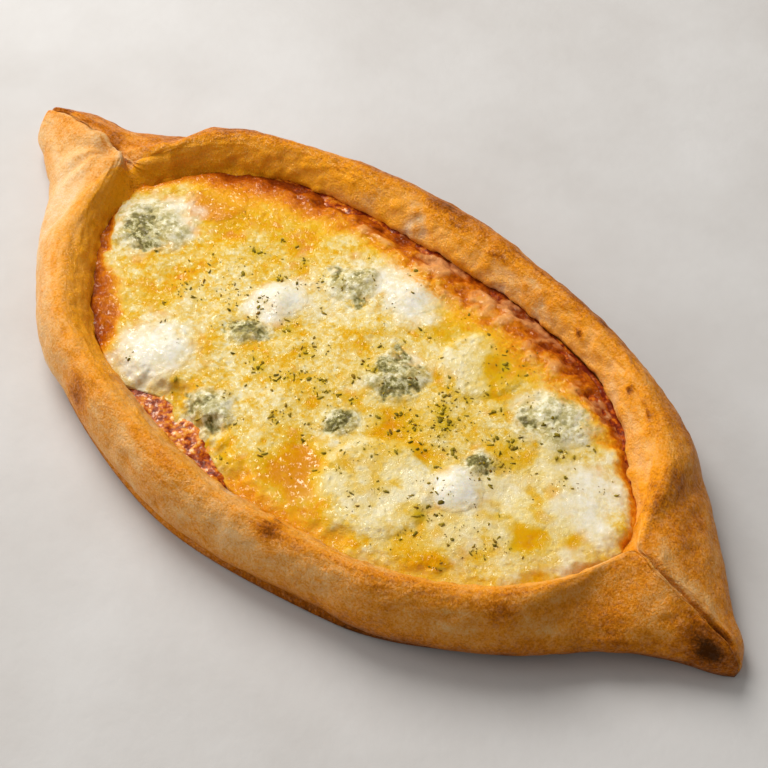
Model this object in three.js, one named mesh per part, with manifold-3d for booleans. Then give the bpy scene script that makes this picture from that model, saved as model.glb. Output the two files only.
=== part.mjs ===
// Cheese pide: a boat of baked dough with rolled rims, pinched shut at both ends and filled with
// tomato sauce, melted cheese, round cheese slices, lumps of white and blue cheese and dried herbs.
// Millimetres, +Z up, X along the boat. The origin is on the flat bottom, under the middle of the box.

import * as THREE from 'three';
import { mergeVertices } from 'three/addons/utils/BufferGeometryUtils.js';
import Module from 'manifold-3d';

const wasm = await Module();
wasm.setup();

// Dough, each pair a place along X and the value there. The near side is the one at -Y.
const HALF_LENGTH = 150;
const NEAR_SIDE = [[-150, 5.5], [-146, 0.5], [-138, -3.5], [-120, -15], [-100, -35.5], [-60, -61.5],
  [0, -72], [60, -61], [100, -38], [120, -17.5], [138, -3.5], [147, 2.5], [150, 6]];
const FAR_SIDE = [[-150, 9.5], [-146, 15.5], [-136, 21.5], [-122, 25], [-112, 31.5], [-98, 43],
  [-80, 51.2], [-40, 67], [0, 72], [40, 69], [80, 60.5], [100, 51.5], [120, 36], [138, 20],
  [147, 13.5], [150, 9]];
const NEAR_LIP = [[-101, 5.5], [-97, -4.5], [-90, -16], [-80, -27.5], [-60, -43.5], [-40, -50.5],
  [0, -56], [40, -49.5], [60, -44.5], [80, -34], [100, -13], [106, -1.5], [110, 7.5]];
const FAR_LIP = [[-101, 5.5], [-97, 10.5], [-93, 16.5], [-89.5, 24], [-86, 29.5], [-80, 34.5], [-60, 44.5],
  [-20, 52.5], [20, 55.5], [60, 50.5], [80, 40.5], [90, 33.5], [100, 24], [106, 15.5], [110, 7.5]];
const SEAM = [[-150, 8.5], [-140, 9.5], [-125, 9.6], [-113, 9.3], [-106, 8], [-101, 5.5], [110, 7.5],
  [122, 5.5], [135, 6], [150, 7]];
const NEAR_HEIGHT = [[-150, 10], [-146, 16], [-135, 20], [-120, 23], [-101, 25], [60, 24.5], [110, 24],
  [125, 21], [140, 15.5], [147, 11.5], [150, 6]];
const FAR_HEIGHT = [[-150, 10], [-146, 15.5], [-135, 18.5], [-120, 20], [-108, 20.8], [-100, 23.5],
  [-94, 25.3], [-86, 25.2], [-72, 24], [0, 24.6], [60, 25],
  [110, 22.5], [125, 18.5], [140, 13], [147, 9.5], [150, 5.5]];
const WELL_ENDS = [-101, 110];
const FLOOR_HEIGHT = 8;
const CREASE_DEPTH = 3;
const CREASE_HALF_WIDTH = 0.45;

// Width of the well at which its rim stands free, at the left and the right end, and at which its
// floor is at full depth
const FREE_WIDTHS = [18, 44];
const DEEP_WIDTH = 18;

// Section of the rim: insets in millimetres, with shares of the thickness that cap them, then
// heights as shares of the rim's. A pair is the value in a pinched end, then on a free rim.
const FOOT_INSET = [9, 0.45];
const SKIRT_INSET = [2.2, 0.2];
const SKIRT_HEIGHT = 0.16;
const BULGE_HEIGHT = 0.42;
const SHOULDER_SHARE = 0.36;
const SHOULDER_HEIGHT = [0.74, 0.82];
const CREST_SHARE = [0.8, 0.48];
const BROW_SHARE = 0.26;
const BROW_HEIGHT = 0.88;
const LIP_HEIGHT = 0.6;
const UNDERCUT = 1.5;
const FLOOR_FILLET = 0.6;

// Hollows pressed into the pinched ends: x, y, radius, depth, in the dough above a height
const DENTS = [[113, -8, 10, 4], [109, 17, 6, 1.5], [-111, 5.5, 4.5, 4]];
const DENT_FLOOR = 10;
const DENT_FADE = 4;

// Stations along the boat, crowded towards the tips, and samples on each stretch of a section
const END_ZONES = [-92, 100];
const END_STEPS = 14;
const MIDDLE_STEPS = 30;
const END_CROWDING = 1.3;
const SECTION_SAMPLES = [1, 1, 2, 2, 3, 3, 2, 2, 1, 1, 1, 1, 1, 2, 2, 3, 3, 2, 2, 1];

// Filling: its levels, and how far the cheese stays back from the dough along X
const CLEARANCE = 0.35;
const SAUCE_TOP = 11.5;
const SAUCE_MARGIN = 0.8;
const SAUCE_ENDS = [-93, 104];
const CHEESE_ENDS = [-92.5, 103];
const CHEESE_LEVEL = 15;
const CHEESE_CROWN = 1.2;
const CHEESE_WAVE = 0.35;
const EDGE_DROP = 2.2;
const EDGE_WIDTH = 7;
const EDGE_WAVE = 0.6;
const NEAR_MARGIN = [[-97, 2], [-70, 3], [-45, 3], [-30, 6], [-10, 8.5], [10, 7.5], [25, 4], [60, 2],
  [106, 2]];
const FAR_MARGIN = [[-97, 2], [-80, 4], [0, 4.5], [40, 4.5], [80, 3.5], [100, 3], [106, 2]];
const LAYER_STEPS = 34;
const CHEESE_COLUMNS = 12;

// Toppings: x, y, half length, half width and rise over the cheese. Their lengths lie at one angle.
const TOPPING_TURN = Math.PI / 4;
const SLICES = [[43, -26, 18.5, 18, 1.8], [35, 28.5, 14, 13, 1.4], [-73, 18, 11, 9.5, 1.2]];
const WHITE_LUMPS = [[-40, -36.5, 12, 10.5, 4], [-27.5, 4, 9, 7, 3.6], [60, -10.5, 8.8, 8.4, 4.6],
  [0, 34.5, 11, 9, 2.2]];
const BLUE_LUMPS = [[-79, -3.5, 13.5, 13, 3], [-16, 24.5, 9.5, 8, 2.6], [-25.5, -11.5, 8.5, 5.5, 2.2],
  [19, 7, 10.5, 10.5, 3.2], [-12, -40.5, 10, 8.5, 2.6], [19, -16, 6, 5.5, 2.2], [59, 1.5, 6.5, 5, 2.2],
  [64.5, 28.5, 14, 11, 2.6]];

// How each kind is shaped: sides, depth below the cheese's surface, and share of unevenness.
// spread and lift are powers that turn a ball into a flat slice with a round edge.
const KINDS = {
  white: { sides: 12, depth: 2.6, uneven: 0.03, spread: 1, lift: 1 },
  blue: { sides: 12, depth: 2.6, uneven: 0.05, spread: 1, lift: 1 },
  slice: { sides: 24, depth: 1.9, uneven: 0.03, spread: 0.5, lift: 0.6 },
};
const TOPPING_RINGS = 8;

// Herb flakes: half sizes, and how far each keeps from a piece's edge
const FLAKE_COUNT = 60;
const FLAKE = [1.35, 0.85, 0.5];
const FLAKE_EDGE = 2.2;
const FLAKE_SEED = 7;

const FINISH = {
  dough: { color: 0xcd8c46, roughness: 0.62 },
  sauce: { color: 0x9c3f1c, roughness: 0.4 },
  cheese: { color: 0xe9c565, roughness: 0.38 },
  slice: { color: 0xf0dc96, roughness: 0.35 },
  white: { color: 0xf3eee0, roughness: 0.45 },
  blue: { color: 0xa9ad92, roughness: 0.5 },
};

const mix = THREE.MathUtils.lerp;
const { smoothstep, clamp } = THREE.MathUtils;

// Value at x of the smooth curve through the knots, with no overshoot between them
function along(knots, x) {
  const last = knots.length - 1;
  const at = clamp(x, knots[0][0], knots[last][0]);
  let i = 0;
  while (i < last - 1 && at > knots[i + 1][0]) i += 1;
  const slope = (k) => (knots[k + 1][1] - knots[k][1]) / (knots[k + 1][0] - knots[k][0]);
  const tangent = (k) => {
    if (k === 0) return slope(0);
    if (k === last) return slope(last - 1);
    const before = slope(k - 1);
    const after = slope(k);
    return before * after > 0 ? 2 * before * after / (before + after) : 0;
  };
  const step = knots[i + 1][0] - knots[i][0];
  const t = (at - knots[i][0]) / step;
  const rise = t * t * (3 - 2 * t);
  return knots[i][1] * (1 - rise) + knots[i + 1][1] * rise
    + step * t * (1 - t) * ((1 - t) * tangent(i) - t * tangent(i + 1));
}

// Half of the dough's section: points [y, z] from the foot over the rim to the well's floor.
// inward is +1 on the near side. free is 1 where the rim stands free, 0 where the lips are pinched.
function rimPoints(outer, lip, height, floor, free, inward) {
  const thick = Math.abs(lip - outer);
  const inset = ([most, share]) => outer + inward * Math.min(most, share * thick);
  const crest = outer + inward * thick * mix(...CREST_SHARE, free);
  const browHeight = mix(height - BROW_SHARE * CREASE_DEPTH, BROW_HEIGHT * height, free);
  const lipHeight = mix(height - CREASE_DEPTH / 2, LIP_HEIGHT * height, free);
  const wall = lip - inward * UNDERCUT * free;
  return [
    [inset(FOOT_INSET), 0],
    [inset(SKIRT_INSET), SKIRT_HEIGHT * height],
    [outer, BULGE_HEIGHT * height],
    [mix(outer, crest, SHOULDER_SHARE), mix(...SHOULDER_HEIGHT, free) * height],
    [crest, height],
    [lip - inward * BROW_SHARE * thick * free, browHeight],
    [lip, lipHeight],
    [wall, (floor + lipHeight) / 2],
    [wall + inward * FLOOR_FILLET * free, floor],
  ];
}

// Closed section of the dough at x, as control points [y, z] that run round it
function doughSection(x) {
  const seam = along(SEAM, x);
  const inWell = x > WELL_ENDS[0] && x < WELL_ENDS[1];
  const nearLip = Math.min(inWell ? along(NEAR_LIP, x) : seam, seam - CREASE_HALF_WIDTH);
  const farLip = Math.max(inWell ? along(FAR_LIP, x) : seam, seam + CREASE_HALF_WIDTH);
  const free = smoothstep(farLip - nearLip, 0, FREE_WIDTHS[x < 0 ? 0 : 1]);
  const deep = smoothstep(farLip - nearLip, 0, DEEP_WIDTH);
  const nearHeight = along(NEAR_HEIGHT, x);
  const farHeight = along(FAR_HEIGHT, x);
  const floor = mix(Math.min(nearHeight, farHeight) - CREASE_DEPTH, FLOOR_HEIGHT, deep);
  const near = rimPoints(along(NEAR_SIDE, x), nearLip, nearHeight, floor, free, 1);
  const far = rimPoints(along(FAR_SIDE, x), farLip, farHeight, floor, free, -1);
  const middle = (nearLip + farLip) / 2;
  const under = (near[0][0] + far[0][0]) / 2;
  return [[under, 0], ...near, [middle, floor], ...far.reverse()];
}

function doughStations() {
  const left = [];
  const right = [];
  for (let i = 0; i < END_STEPS; i += 1) {
    const share = (i / END_STEPS) ** END_CROWDING;
    left.push(mix(-HALF_LENGTH, END_ZONES[0], share));
    right.unshift(mix(HALF_LENGTH, END_ZONES[1], share));
  }
  const middle = [];
  for (let i = 0; i <= MIDDLE_STEPS; i += 1) middle.push(mix(...END_ZONES, i / MIDDLE_STEPS));
  return [...left, ...middle, ...right];
}

// How far the dents lower a point of the dough's upper side
function dentDepth(point) {
  let depth = 0;
  for (const [x, y, radius, drop] of DENTS) {
    depth += drop * Math.exp(-((point.x - x) ** 2 + (point.y - y) ** 2) / radius ** 2);
  }
  return depth * smoothstep(point.z, DENT_FLOOR, DENT_FLOOR + DENT_FADE);
}

// Solid through a row of closed rings, each an array of Vector3 with the same count of points
function loftGeometry(rings) {
  const count = rings[0].length;
  const points = rings.flat();
  const index = [];
  for (let i = 0; i < rings.length - 1; i += 1) {
    for (let j = 0; j < count; j += 1) {
      const a = i * count + j;
      const b = i * count + (j + 1) % count;
      index.push(a, a + count, b + count, a, b + count, b);
    }
  }
  const addCap = (ring, start, turn) => {
    const centre = points.length;
    points.push(ring.reduce((sum, point) => sum.add(point), new THREE.Vector3()).divideScalar(count));
    for (let j = 0; j < count; j += 1) {
      const edge = [start + j, start + (j + 1) % count];
      index.push(centre, edge[turn], edge[1 - turn]);
    }
  };
  addCap(rings[0], 0, 0);
  addCap(rings[rings.length - 1], (rings.length - 1) * count, 1);
  const geometry = new THREE.BufferGeometry().setFromPoints(points);
  geometry.setIndex(index);
  return geometry;
}

function doughGeometry() {
  const rings = doughStations().map((x) => {
    const points = doughSection(x).map(([y, z]) => new THREE.Vector3(x, y, z));
    const curve = new THREE.CatmullRomCurve3(points, true, 'catmullrom', 0.5);
    const ring = [];
    SECTION_SAMPLES.forEach((samples, k) => {
      for (let j = 0; j < samples; j += 1) {
        const point = curve.getPoint((k + j / samples) / points.length);
        point.z = Math.max(point.z - dentDepth(point), 0);
        ring.push(point);
      }
    });
    return ring;
  });
  return loftGeometry(rings);
}

// Layer with a flat underside between two edges along X, its top from a height function of x and y
function layerGeometry(ends, columns, nearEdge, farEdge, bottom, top) {
  const rings = [];
  const crowd = (share) => (1 - Math.cos(Math.PI * share)) / 2;
  for (let i = 0; i <= LAYER_STEPS; i += 1) {
    const x = mix(...ends, crowd(i / LAYER_STEPS));
    const near = nearEdge(x);
    const far = farEdge(x);
    const ring = [new THREE.Vector3(x, far, bottom), new THREE.Vector3(x, near, bottom)];
    for (let j = 0; j <= columns; j += 1) {
      const y = mix(near, far, crowd(j / columns));
      ring.push(new THREE.Vector3(x, y, top(x, y)));
    }
    rings.push(ring);
  }
  return loftGeometry(rings);
}

const sauceNear = (x) => along(NEAR_LIP, x) + SAUCE_MARGIN;
const sauceFar = (x) => along(FAR_LIP, x) - SAUCE_MARGIN;
const cheeseNear = (x) => along(NEAR_LIP, x) + along(NEAR_MARGIN, x) + EDGE_WAVE * Math.sin(x / 3.1);
const cheeseFar = (x) => along(FAR_LIP, x) - along(FAR_MARGIN, x) + EDGE_WAVE * Math.sin(x / 2.7);

// Distance of a place from the edge of the cheese, positive inside it
function cheeseReach(x, y) {
  return Math.min(y - cheeseNear(x), cheeseFar(x) - y, x - CHEESE_ENDS[0], CHEESE_ENDS[1] - x);
}

// Height of the melted cheese: a low crown with shallow waves that falls away at the edges
function cheeseTop(x, y) {
  const fall = 1 - clamp(cheeseReach(x, y) / EDGE_WIDTH, 0, 1);
  const crown = CHEESE_CROWN * (1 - (x / HALF_LENGTH) ** 2);
  const waves = CHEESE_WAVE * Math.sin(x / 9 + 1) * Math.cos(y / 8);
  return CHEESE_LEVEL + crown + waves - EDGE_DROP * fall * fall;
}

// Geometry with its positions only, so that points at the same place can be shared
function bare(geometry) {
  geometry.deleteAttribute('normal');
  geometry.deleteAttribute('uv');
  return mergeVertices(geometry);
}

// Topping sunk into the cheese: an uneven flattened ball or slice, grown on all sides for its pocket
function toppingGeometry([x, y, length, width, rise], kind, seed, grow) {
  const { sides, depth, uneven, spread, lift } = KINDS[kind];
  const geometry = bare(new THREE.SphereGeometry(1, sides, TOPPING_RINGS).rotateX(Math.PI / 2));
  const place = geometry.getAttribute('position');
  const point = new THREE.Vector3();
  for (let i = 0; i < place.count; i += 1) {
    point.fromBufferAttribute(place, i);
    const reach = Math.hypot(point.x, point.y);
    const around = Math.atan2(point.y, point.x);
    const bumps = Math.sin(3 * around + seed) + Math.sin(4 * around + 2.3 * seed + 3 * point.z);
    const out = reach ** spread * (1 + uneven * reach * bumps);
    const up = Math.sign(point.z) * Math.abs(point.z) ** lift;
    const high = (up > 0 ? rise : depth) + grow;
    point.set((length + grow) * out * Math.cos(around), (width + grow) * out * Math.sin(around), up * high);
    place.setXYZ(i, point.x, point.y, point.z);
  }
  return geometry.rotateZ(TOPPING_TURN).translate(x, y, cheeseTop(x, y));
}

// How far a place lies inside a topping's outline, about, and negative outside it
function toppingReach([tx, ty, length, width], x, y) {
  const place = new THREE.Vector2(x - tx, y - ty).rotateAround(new THREE.Vector2(), -TOPPING_TURN);
  return (1 - Math.hypot(place.x / length, place.y / width)) * Math.min(length, width);
}

function toSolid(geometry) {
  const shared = mergeVertices(geometry);
  return new wasm.Manifold(new wasm.Mesh({
    numProp: 3,
    vertProperties: new Float32Array(shared.getAttribute('position').array),
    triVerts: new Uint32Array(shared.index.array),
  }));
}

// Largest body of a cut solid, as a geometry
function toGeometry(solid) {
  const bodies = solid.decompose().sort((a, b) => b.volume() - a.volume());
  const mesh = bodies[0].getMesh();
  const geometry = new THREE.BufferGeometry();
  geometry.setAttribute('position', new THREE.Float32BufferAttribute(mesh.vertProperties, 3));
  geometry.setIndex(Array.from(mesh.triVerts));
  return geometry;
}

// Toppings in the order in which they give way: each is cut back from those before it
const toppings = [
  ...WHITE_LUMPS.map((size, i) => ({ name: `white_cheese_${i + 1}`, kind: 'white', size })),
  ...BLUE_LUMPS.map((size, i) => ({ name: `blue_cheese_${i + 1}`, kind: 'blue', size })),
  ...SLICES.map((size, i) => ({ name: `cheese_slice_${i + 1}`, kind: 'slice', size })),
];
const pockets = [];
toppings.forEach((topping, seed) => {
  topping.solid = toSolid(toppingGeometry(topping.size, topping.kind, seed, 0));
  for (const pocket of pockets) topping.solid = topping.solid.subtract(pocket);
  pockets.push(toSolid(toppingGeometry(topping.size, topping.kind, seed, CLEARANCE)));
});

const cheeseBottom = SAUCE_TOP + CLEARANCE;
const layer = layerGeometry(CHEESE_ENDS, CHEESE_COLUMNS, cheeseNear, cheeseFar, cheeseBottom, cheeseTop);
const cheese = { name: 'melted_cheese', kind: 'cheese', solid: toSolid(layer) };
for (const pocket of pockets) cheese.solid = cheese.solid.subtract(pocket);

// Seeded random numbers between 0 and 1
function randomSource(seed) {
  let state = seed;
  return () => {
    state = (state * 1664525 + 1013904223) % 4294967296;
    return state / 4294967296;
  };
}

// Herb flakes lie where the cheese or a slice shows, clear of the edges of every topping
const random = randomSource(FLAKE_SEED);
let flakes = 0;
while (flakes < FLAKE_COUNT) {
  const x = mix(...CHEESE_ENDS, random());
  const y = mix(cheeseNear(x), cheeseFar(x), random());
  const turn = random() * Math.PI;
  const reach = toppings.map((topping) => toppingReach(topping.size, x, y));
  const clear = cheeseReach(x, y) > FLAKE_EDGE && reach.every((far) => Math.abs(far) > FLAKE_EDGE);
  const over = toppings.find((topping, i) => reach[i] > 0);
  if (clear && (!over || over.kind === 'slice')) {
    const under = over || cheese;
    const height = over ? cheeseTop(over.size[0], over.size[1]) + over.size[4] : cheeseTop(x, y);
    const flake = bare(new THREE.OctahedronGeometry(1, 0).scale(...FLAKE).rotateZ(turn));
    under.solid = under.solid.add(toSolid(flake.translate(x, y, height)));
    flakes += 1;
  }
}

function piece(name, geometry, kind) {
  const shown = geometry.toNonIndexed();
  shown.computeVertexNormals();
  const mesh = new THREE.Mesh(shown, new THREE.MeshStandardMaterial({ ...FINISH[kind], metalness: 0 }));
  mesh.name = name;
  return mesh;
}

const pide = new THREE.Group();
pide.add(piece('dough_boat', doughGeometry(), 'dough'));
const sauceBottom = FLOOR_HEIGHT + CLEARANCE;
const sauce = layerGeometry(SAUCE_ENDS, 3, sauceNear, sauceFar, sauceBottom, () => SAUCE_TOP);
pide.add(piece('tomato_sauce', sauce, 'sauce'));
for (const { name, kind, solid } of [cheese, ...toppings]) pide.add(piece(name, toGeometry(solid), kind));

export default pide;
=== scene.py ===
import math

import bpy
import numpy as np
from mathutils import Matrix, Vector


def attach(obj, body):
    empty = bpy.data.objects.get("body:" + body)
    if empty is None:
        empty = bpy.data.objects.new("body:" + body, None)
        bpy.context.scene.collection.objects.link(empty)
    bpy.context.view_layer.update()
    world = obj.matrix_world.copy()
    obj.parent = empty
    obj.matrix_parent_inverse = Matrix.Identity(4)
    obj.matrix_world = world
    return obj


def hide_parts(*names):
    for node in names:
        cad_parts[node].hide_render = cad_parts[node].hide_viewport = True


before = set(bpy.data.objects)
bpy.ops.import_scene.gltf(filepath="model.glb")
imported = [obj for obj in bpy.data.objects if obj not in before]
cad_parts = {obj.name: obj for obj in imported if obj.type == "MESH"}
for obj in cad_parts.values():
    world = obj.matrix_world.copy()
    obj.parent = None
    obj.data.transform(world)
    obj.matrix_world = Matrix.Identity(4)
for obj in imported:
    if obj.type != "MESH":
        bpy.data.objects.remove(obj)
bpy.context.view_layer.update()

# The place: a plain floor of pale plaster, seen from above the near right side of the bread. One broad soft
# light comes in over the left tip, as from a window, a weaker one from the near left fills the shaded side,
# and faint light comes from all round.
MM = 0.001
VIEW_TURN = math.radians(44.48)
VIEW_TILT = math.radians(52)
VIEW_TARGET = Vector((16.64, 5.03, 12)) * MM
VIEW_DISTANCE = 515.2 * MM
LENS_LENGTH = 80
SENSOR_WIDTH = 36
# Each light has a name, a place, a width in metres, a power in watts and a colour.
LIGHTS = [("window", Vector((-0.82, 0.24, 0.90)), 0.8, 16.5, (1.0, 0.975, 0.94)),
          ("doorway", Vector((-0.85, -0.60, 0.50)), 0.9, 5.8, (1.0, 0.97, 0.93))]
ROOM_COLOUR = (1.0, 0.985, 0.96, 1)
ROOM_STRENGTH = 0.32
GROUND_SIZE = 3.0
GROUND_DROP = 0.05 * MM
PLASTER_TONES = [(0.36, (0.49, 0.47, 0.452, 1)), (0.62, (0.565, 0.552, 0.54, 1))]
# Speckles are given as lumps in a metre, detail and roughness, and fine relief as strength and height.
PLASTER_CLOUDS = (9.0, 5.0, 0.6)
PLASTER_GRIT = (260.0, 4.0)
PLASTER_RELIEF = (0.25, 0.4 * MM)


def add_node(tree, kind, inputs=(), **settings):
    """A shader node of that kind, with settings and with inputs as pairs of name and value or socket."""
    item = tree.nodes.new(kind)
    for key, value in settings.items():
        setattr(item, key, value)
    for place, value in inputs:
        if isinstance(value, bpy.types.NodeSocket):
            tree.links.new(value, item.inputs[place])
        else:
            item.inputs[place].default_value = value
    return item


def new_finish(name, inputs=()):
    """A material, its node tree and its surface shader, with the shader's inputs set."""
    finish = bpy.data.materials.new(name)
    finish.use_nodes = True
    shader = finish.node_tree.nodes["Principled BSDF"]
    for place, value in inputs:
        shader.inputs[place].default_value = value
    return finish, finish.node_tree, shader


def speckle(tree, scale, detail=3.0, roughness=0.55):
    """The value socket of a noise texture over the piece; scale counts lumps in a metre."""
    vector = add_node(tree, "ShaderNodeTexCoord").outputs["Object"]
    inputs = [("Vector", vector), ("Scale", scale), ("Detail", detail), ("Roughness", roughness)]
    return add_node(tree, "ShaderNodeTexNoise", inputs).outputs["Fac"]


def ramp(tree, factor, stops):
    """The colour socket of a ramp with stops of position and colour."""
    item = add_node(tree, "ShaderNodeValToRGB", [("Fac", factor)])
    points = item.color_ramp.elements
    while len(points) < len(stops):
        points.new(0.5)
    for point, (place, colour) in zip(points, stops):
        point.position = place
        point.color = colour
    return item.outputs["Color"]


def bump(tree, shader, height, strength, distance):
    """Fine relief on a surface, from a height socket; distance is in metres."""
    inputs = [("Height", height), ("Strength", strength), ("Distance", distance)]
    normal = add_node(tree, "ShaderNodeBump", inputs).outputs["Normal"]
    tree.links.new(normal, shader.inputs["Normal"])


back = Vector((math.sin(VIEW_TURN) * math.cos(VIEW_TILT),
               -math.cos(VIEW_TURN) * math.cos(VIEW_TILT),
               math.sin(VIEW_TILT)))
camera = bpy.data.objects.new("camera", bpy.data.cameras.new("camera"))
camera.data.lens = LENS_LENGTH
camera.data.sensor_width = SENSOR_WIDTH
camera.location = VIEW_TARGET + back * VIEW_DISTANCE
camera.rotation_euler = back.to_track_quat("Z", "Y").to_euler()
bpy.context.collection.objects.link(camera)
bpy.context.scene.camera = camera

for name, place, size, power, colour in LIGHTS:
    lamp = bpy.data.objects.new(name, bpy.data.lights.new(name, "AREA"))
    lamp.data.shape = "DISK"
    lamp.data.size = size
    lamp.data.energy = power
    lamp.data.color = colour
    lamp.location = place
    lamp.rotation_euler = place.to_track_quat("Z", "Y").to_euler()
    bpy.context.collection.objects.link(lamp)

world = bpy.data.worlds.new("room")
world.use_nodes = True
world.node_tree.nodes["Background"].inputs["Color"].default_value = ROOM_COLOUR
world.node_tree.nodes["Background"].inputs["Strength"].default_value = ROOM_STRENGTH
bpy.context.scene.world = world
bpy.context.scene.view_settings.view_transform = "Standard"

half = GROUND_SIZE / 2
ground_corners = [(-half, -half), (half, -half), (half, half), (-half, half)]
ground_mesh = bpy.data.meshes.new("ground")
ground_mesh.from_pydata([(x, y, -GROUND_DROP) for x, y in ground_corners], [], [(0, 1, 2, 3)])
ground = bpy.data.objects.new("ground", ground_mesh)
bpy.context.collection.objects.link(ground)
plaster, tree, shader = new_finish("plaster", [("Roughness", 0.62), ("Specular IOR Level", 0.3)])
clouds = speckle(tree, *PLASTER_CLOUDS)
tree.links.new(ramp(tree, clouds, PLASTER_TONES), shader.inputs["Base Color"])
bump(tree, shader, speckle(tree, *PLASTER_GRIT), *PLASTER_RELIEF)
ground_mesh.materials.append(plaster)

# The boat: one piece of leavened wheat dough, patted into a long oval, its rims rolled in over the filling
# and both ends pinched shut, then baked in a hot oven to a golden, here and there scorched crust. The left
# end is folded over itself round a small pit, and the right end is lapped along one straight seam.
NEAR_SIDE = [[-150, 5.5], [-146, 0.5], [-138, -3.5], [-120, -15], [-100, -35.5], [-60, -61.5], [0, -72],
             [60, -61], [100, -38], [120, -17.5], [138, -3.5], [147, 2.5], [150, 6]]
FAR_SIDE = [[-150, 9.5], [-146, 15.5], [-136, 21.5], [-122, 25], [-112, 31.5], [-98, 43], [-80, 51.2],
            [-40, 67], [0, 72], [40, 69], [80, 60.5], [100, 51.5], [120, 36], [138, 20], [147, 13.5],
            [150, 9]]
NEAR_LIP = [[-101, 5.5], [-97, -4.5], [-90, -16], [-80, -27.5], [-60, -43.5], [-40, -50.5], [0, -56],
            [40, -49.5], [60, -44.5], [80, -34], [100, -13], [106, -1.5], [110, 7.5]]
FAR_LIP = [[-101, 5.5], [-97, 10.5], [-93, 16.5], [-89.5, 24], [-86, 29.5], [-80, 34.5], [-60, 44.5],
           [-20, 52.5], [20, 55.5], [60, 50.5], [80, 40.5], [90, 33.5], [100, 24], [106, 15.5], [110, 7.5]]
SEAM = [[-150, 8.5], [-140, 9.5], [-125, 9.6], [-113, 9.3], [-106, 8], [-101, 5.5], [110, 7.5], [122, 5.5],
        [135, 6], [150, 7]]
NEAR_HEIGHT = [[-150, 10], [-146, 16], [-135, 20], [-120, 23], [-101, 25], [60, 24.5], [110, 24], [125, 21],
               [140, 15.5], [147, 11.5], [150, 6]]
FAR_HEIGHT = [[-150, 10], [-146, 15.5], [-135, 18.5], [-120, 20], [-108, 20.8], [-100, 23.5], [-94, 25.3],
              [-86, 25.2], [-72, 24], [0, 24.6], [60, 25], [110, 22.5], [125, 18.5], [140, 13], [147, 9.5],
              [150, 5.5]]
WELL_ENDS = (-101, 110)
FLOOR_HEIGHT = 8
CREASE_DEPTH = 3
CREASE_HALF_WIDTH = 0.45
FREE_WIDTHS = (18, 44)
DEEP_WIDTH = 18
FOOT_INSET = (9, 0.45)
SKIRT_INSET = (2.2, 0.2)
SKIRT_HEIGHT = 0.16
BULGE_HEIGHT = 0.42
SHOULDER_SHARE = 0.36
SHOULDER_HEIGHT = (0.74, 0.82)
CREST_SHARE = (0.8, 0.48)
BROW_SHARE = 0.26
BROW_HEIGHT = 0.88
LIP_HEIGHT = 0.6
LIP_DROP = 1.5
UNDERCUT = 1.5
FLOOR_FILLET = 0.6
# A rim part is counted from 0 at the foot over 4 at the crest to 8 at the well floor.
RIM_TURNS = 9
STATION_ENDS = [-150, -146, -92, 100, 146, 150]
STATION_STEPS = [16, 110, 236, 94, 16]
RING_STEPS = [2, 5, 10, 12, 14, 14, 12, 8, 4, 2, 2, 4, 8, 12, 14, 14, 12, 10, 5, 2]


def smoothstep(value, low, high):
    share = np.clip((value - low) / (high - low), 0, 1)
    return share * share * (3 - 2 * share)


def between(value, start, full, fall, end):
    """A share that rises from start to full and drops again from fall to end."""
    return smoothstep(value, start, full) * (1 - smoothstep(value, fall, end))


def bell(value, middle, width):
    """A share that is 1 at the middle and falls softly away over that width."""
    return np.exp(-((value - middle) / width) ** 2)


def mix(first, second, share):
    return first + (second - first) * share


def along(knots, x):
    """A smooth curve through the knots that never overshoots them, read at x."""
    place, value = np.array(knots, float).T
    slope = np.diff(value) / np.diff(place)
    rising = slope[:-1] * slope[1:] > 0
    inner = np.zeros(len(slope) - 1)
    inner[rising] = 2 * slope[:-1][rising] * slope[1:][rising] / (slope[:-1] + slope[1:])[rising]
    tangent = np.concatenate([slope[:1], inner, slope[-1:]])
    x = np.clip(x, place[0], place[-1])
    k = np.clip(np.searchsorted(place, x, side="right") - 1, 0, len(slope) - 1)
    span = place[k + 1] - place[k]
    t = (x - place[k]) / span
    return ((2 * t**3 - 3 * t**2 + 1) * value[k] + (t**3 - 2 * t**2 + t) * span * tangent[k]
            + (3 * t**2 - 2 * t**3) * value[k + 1] + (t**3 - t**2) * span * tangent[k + 1])


def curve_through(before, start, end, after, t):
    """A smooth curve from start to end that heads as the points before and after them ask."""
    return (start + 0.5 * (end - before) * t + (before - 2.5 * start + 2 * end - 0.5 * after) * t**2
            + 0.5 * (3 * start - before - 3 * end + after) * t**3)


def scatter(cells, seed):
    """A repeatable random share from 0 to 1 for each whole-number cell."""
    mixed = cells[..., 0] * 73856093 ^ cells[..., 1] * 19349663 ^ cells[..., 2] * 83492791 ^ seed * 2654435
    mixed = (mixed ^ mixed >> 13) * 1274126177
    mixed = (mixed ^ mixed >> 11) * 668265263
    return ((mixed ^ mixed >> 16) & 65535) / 65535.0


def grain(points, amount, size, seed, octaves=1):
    """Smooth random relief at points, that amount either way, in lumps of that size in millimetres."""
    total = np.zeros(points.shape[:-1])
    weight = 1.0
    for octave in range(octaves):
        place = points / size * 2**octave
        cell = np.floor(place).astype(np.int64)
        t = place - cell
        t = t**3 * (t * (t * 6 - 15) + 10)
        for corner in range(8):
            step = np.array([corner & 1, corner >> 1 & 1, corner >> 2])
            share = np.prod(np.where(step, t, 1 - t), axis=-1)
            total += weight * share * (2 * scatter(cell + step, seed + octave) - 1)
        weight /= 2
    return amount * total


def grains(points, lumps):
    """The sum of several such reliefs, each an amount, a size, a seed and its octaves."""
    return sum(grain(points, *lump) for lump in lumps)


def flat_points(x, y):
    return np.stack([x, y, np.zeros_like(x)], axis=-1)


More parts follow.
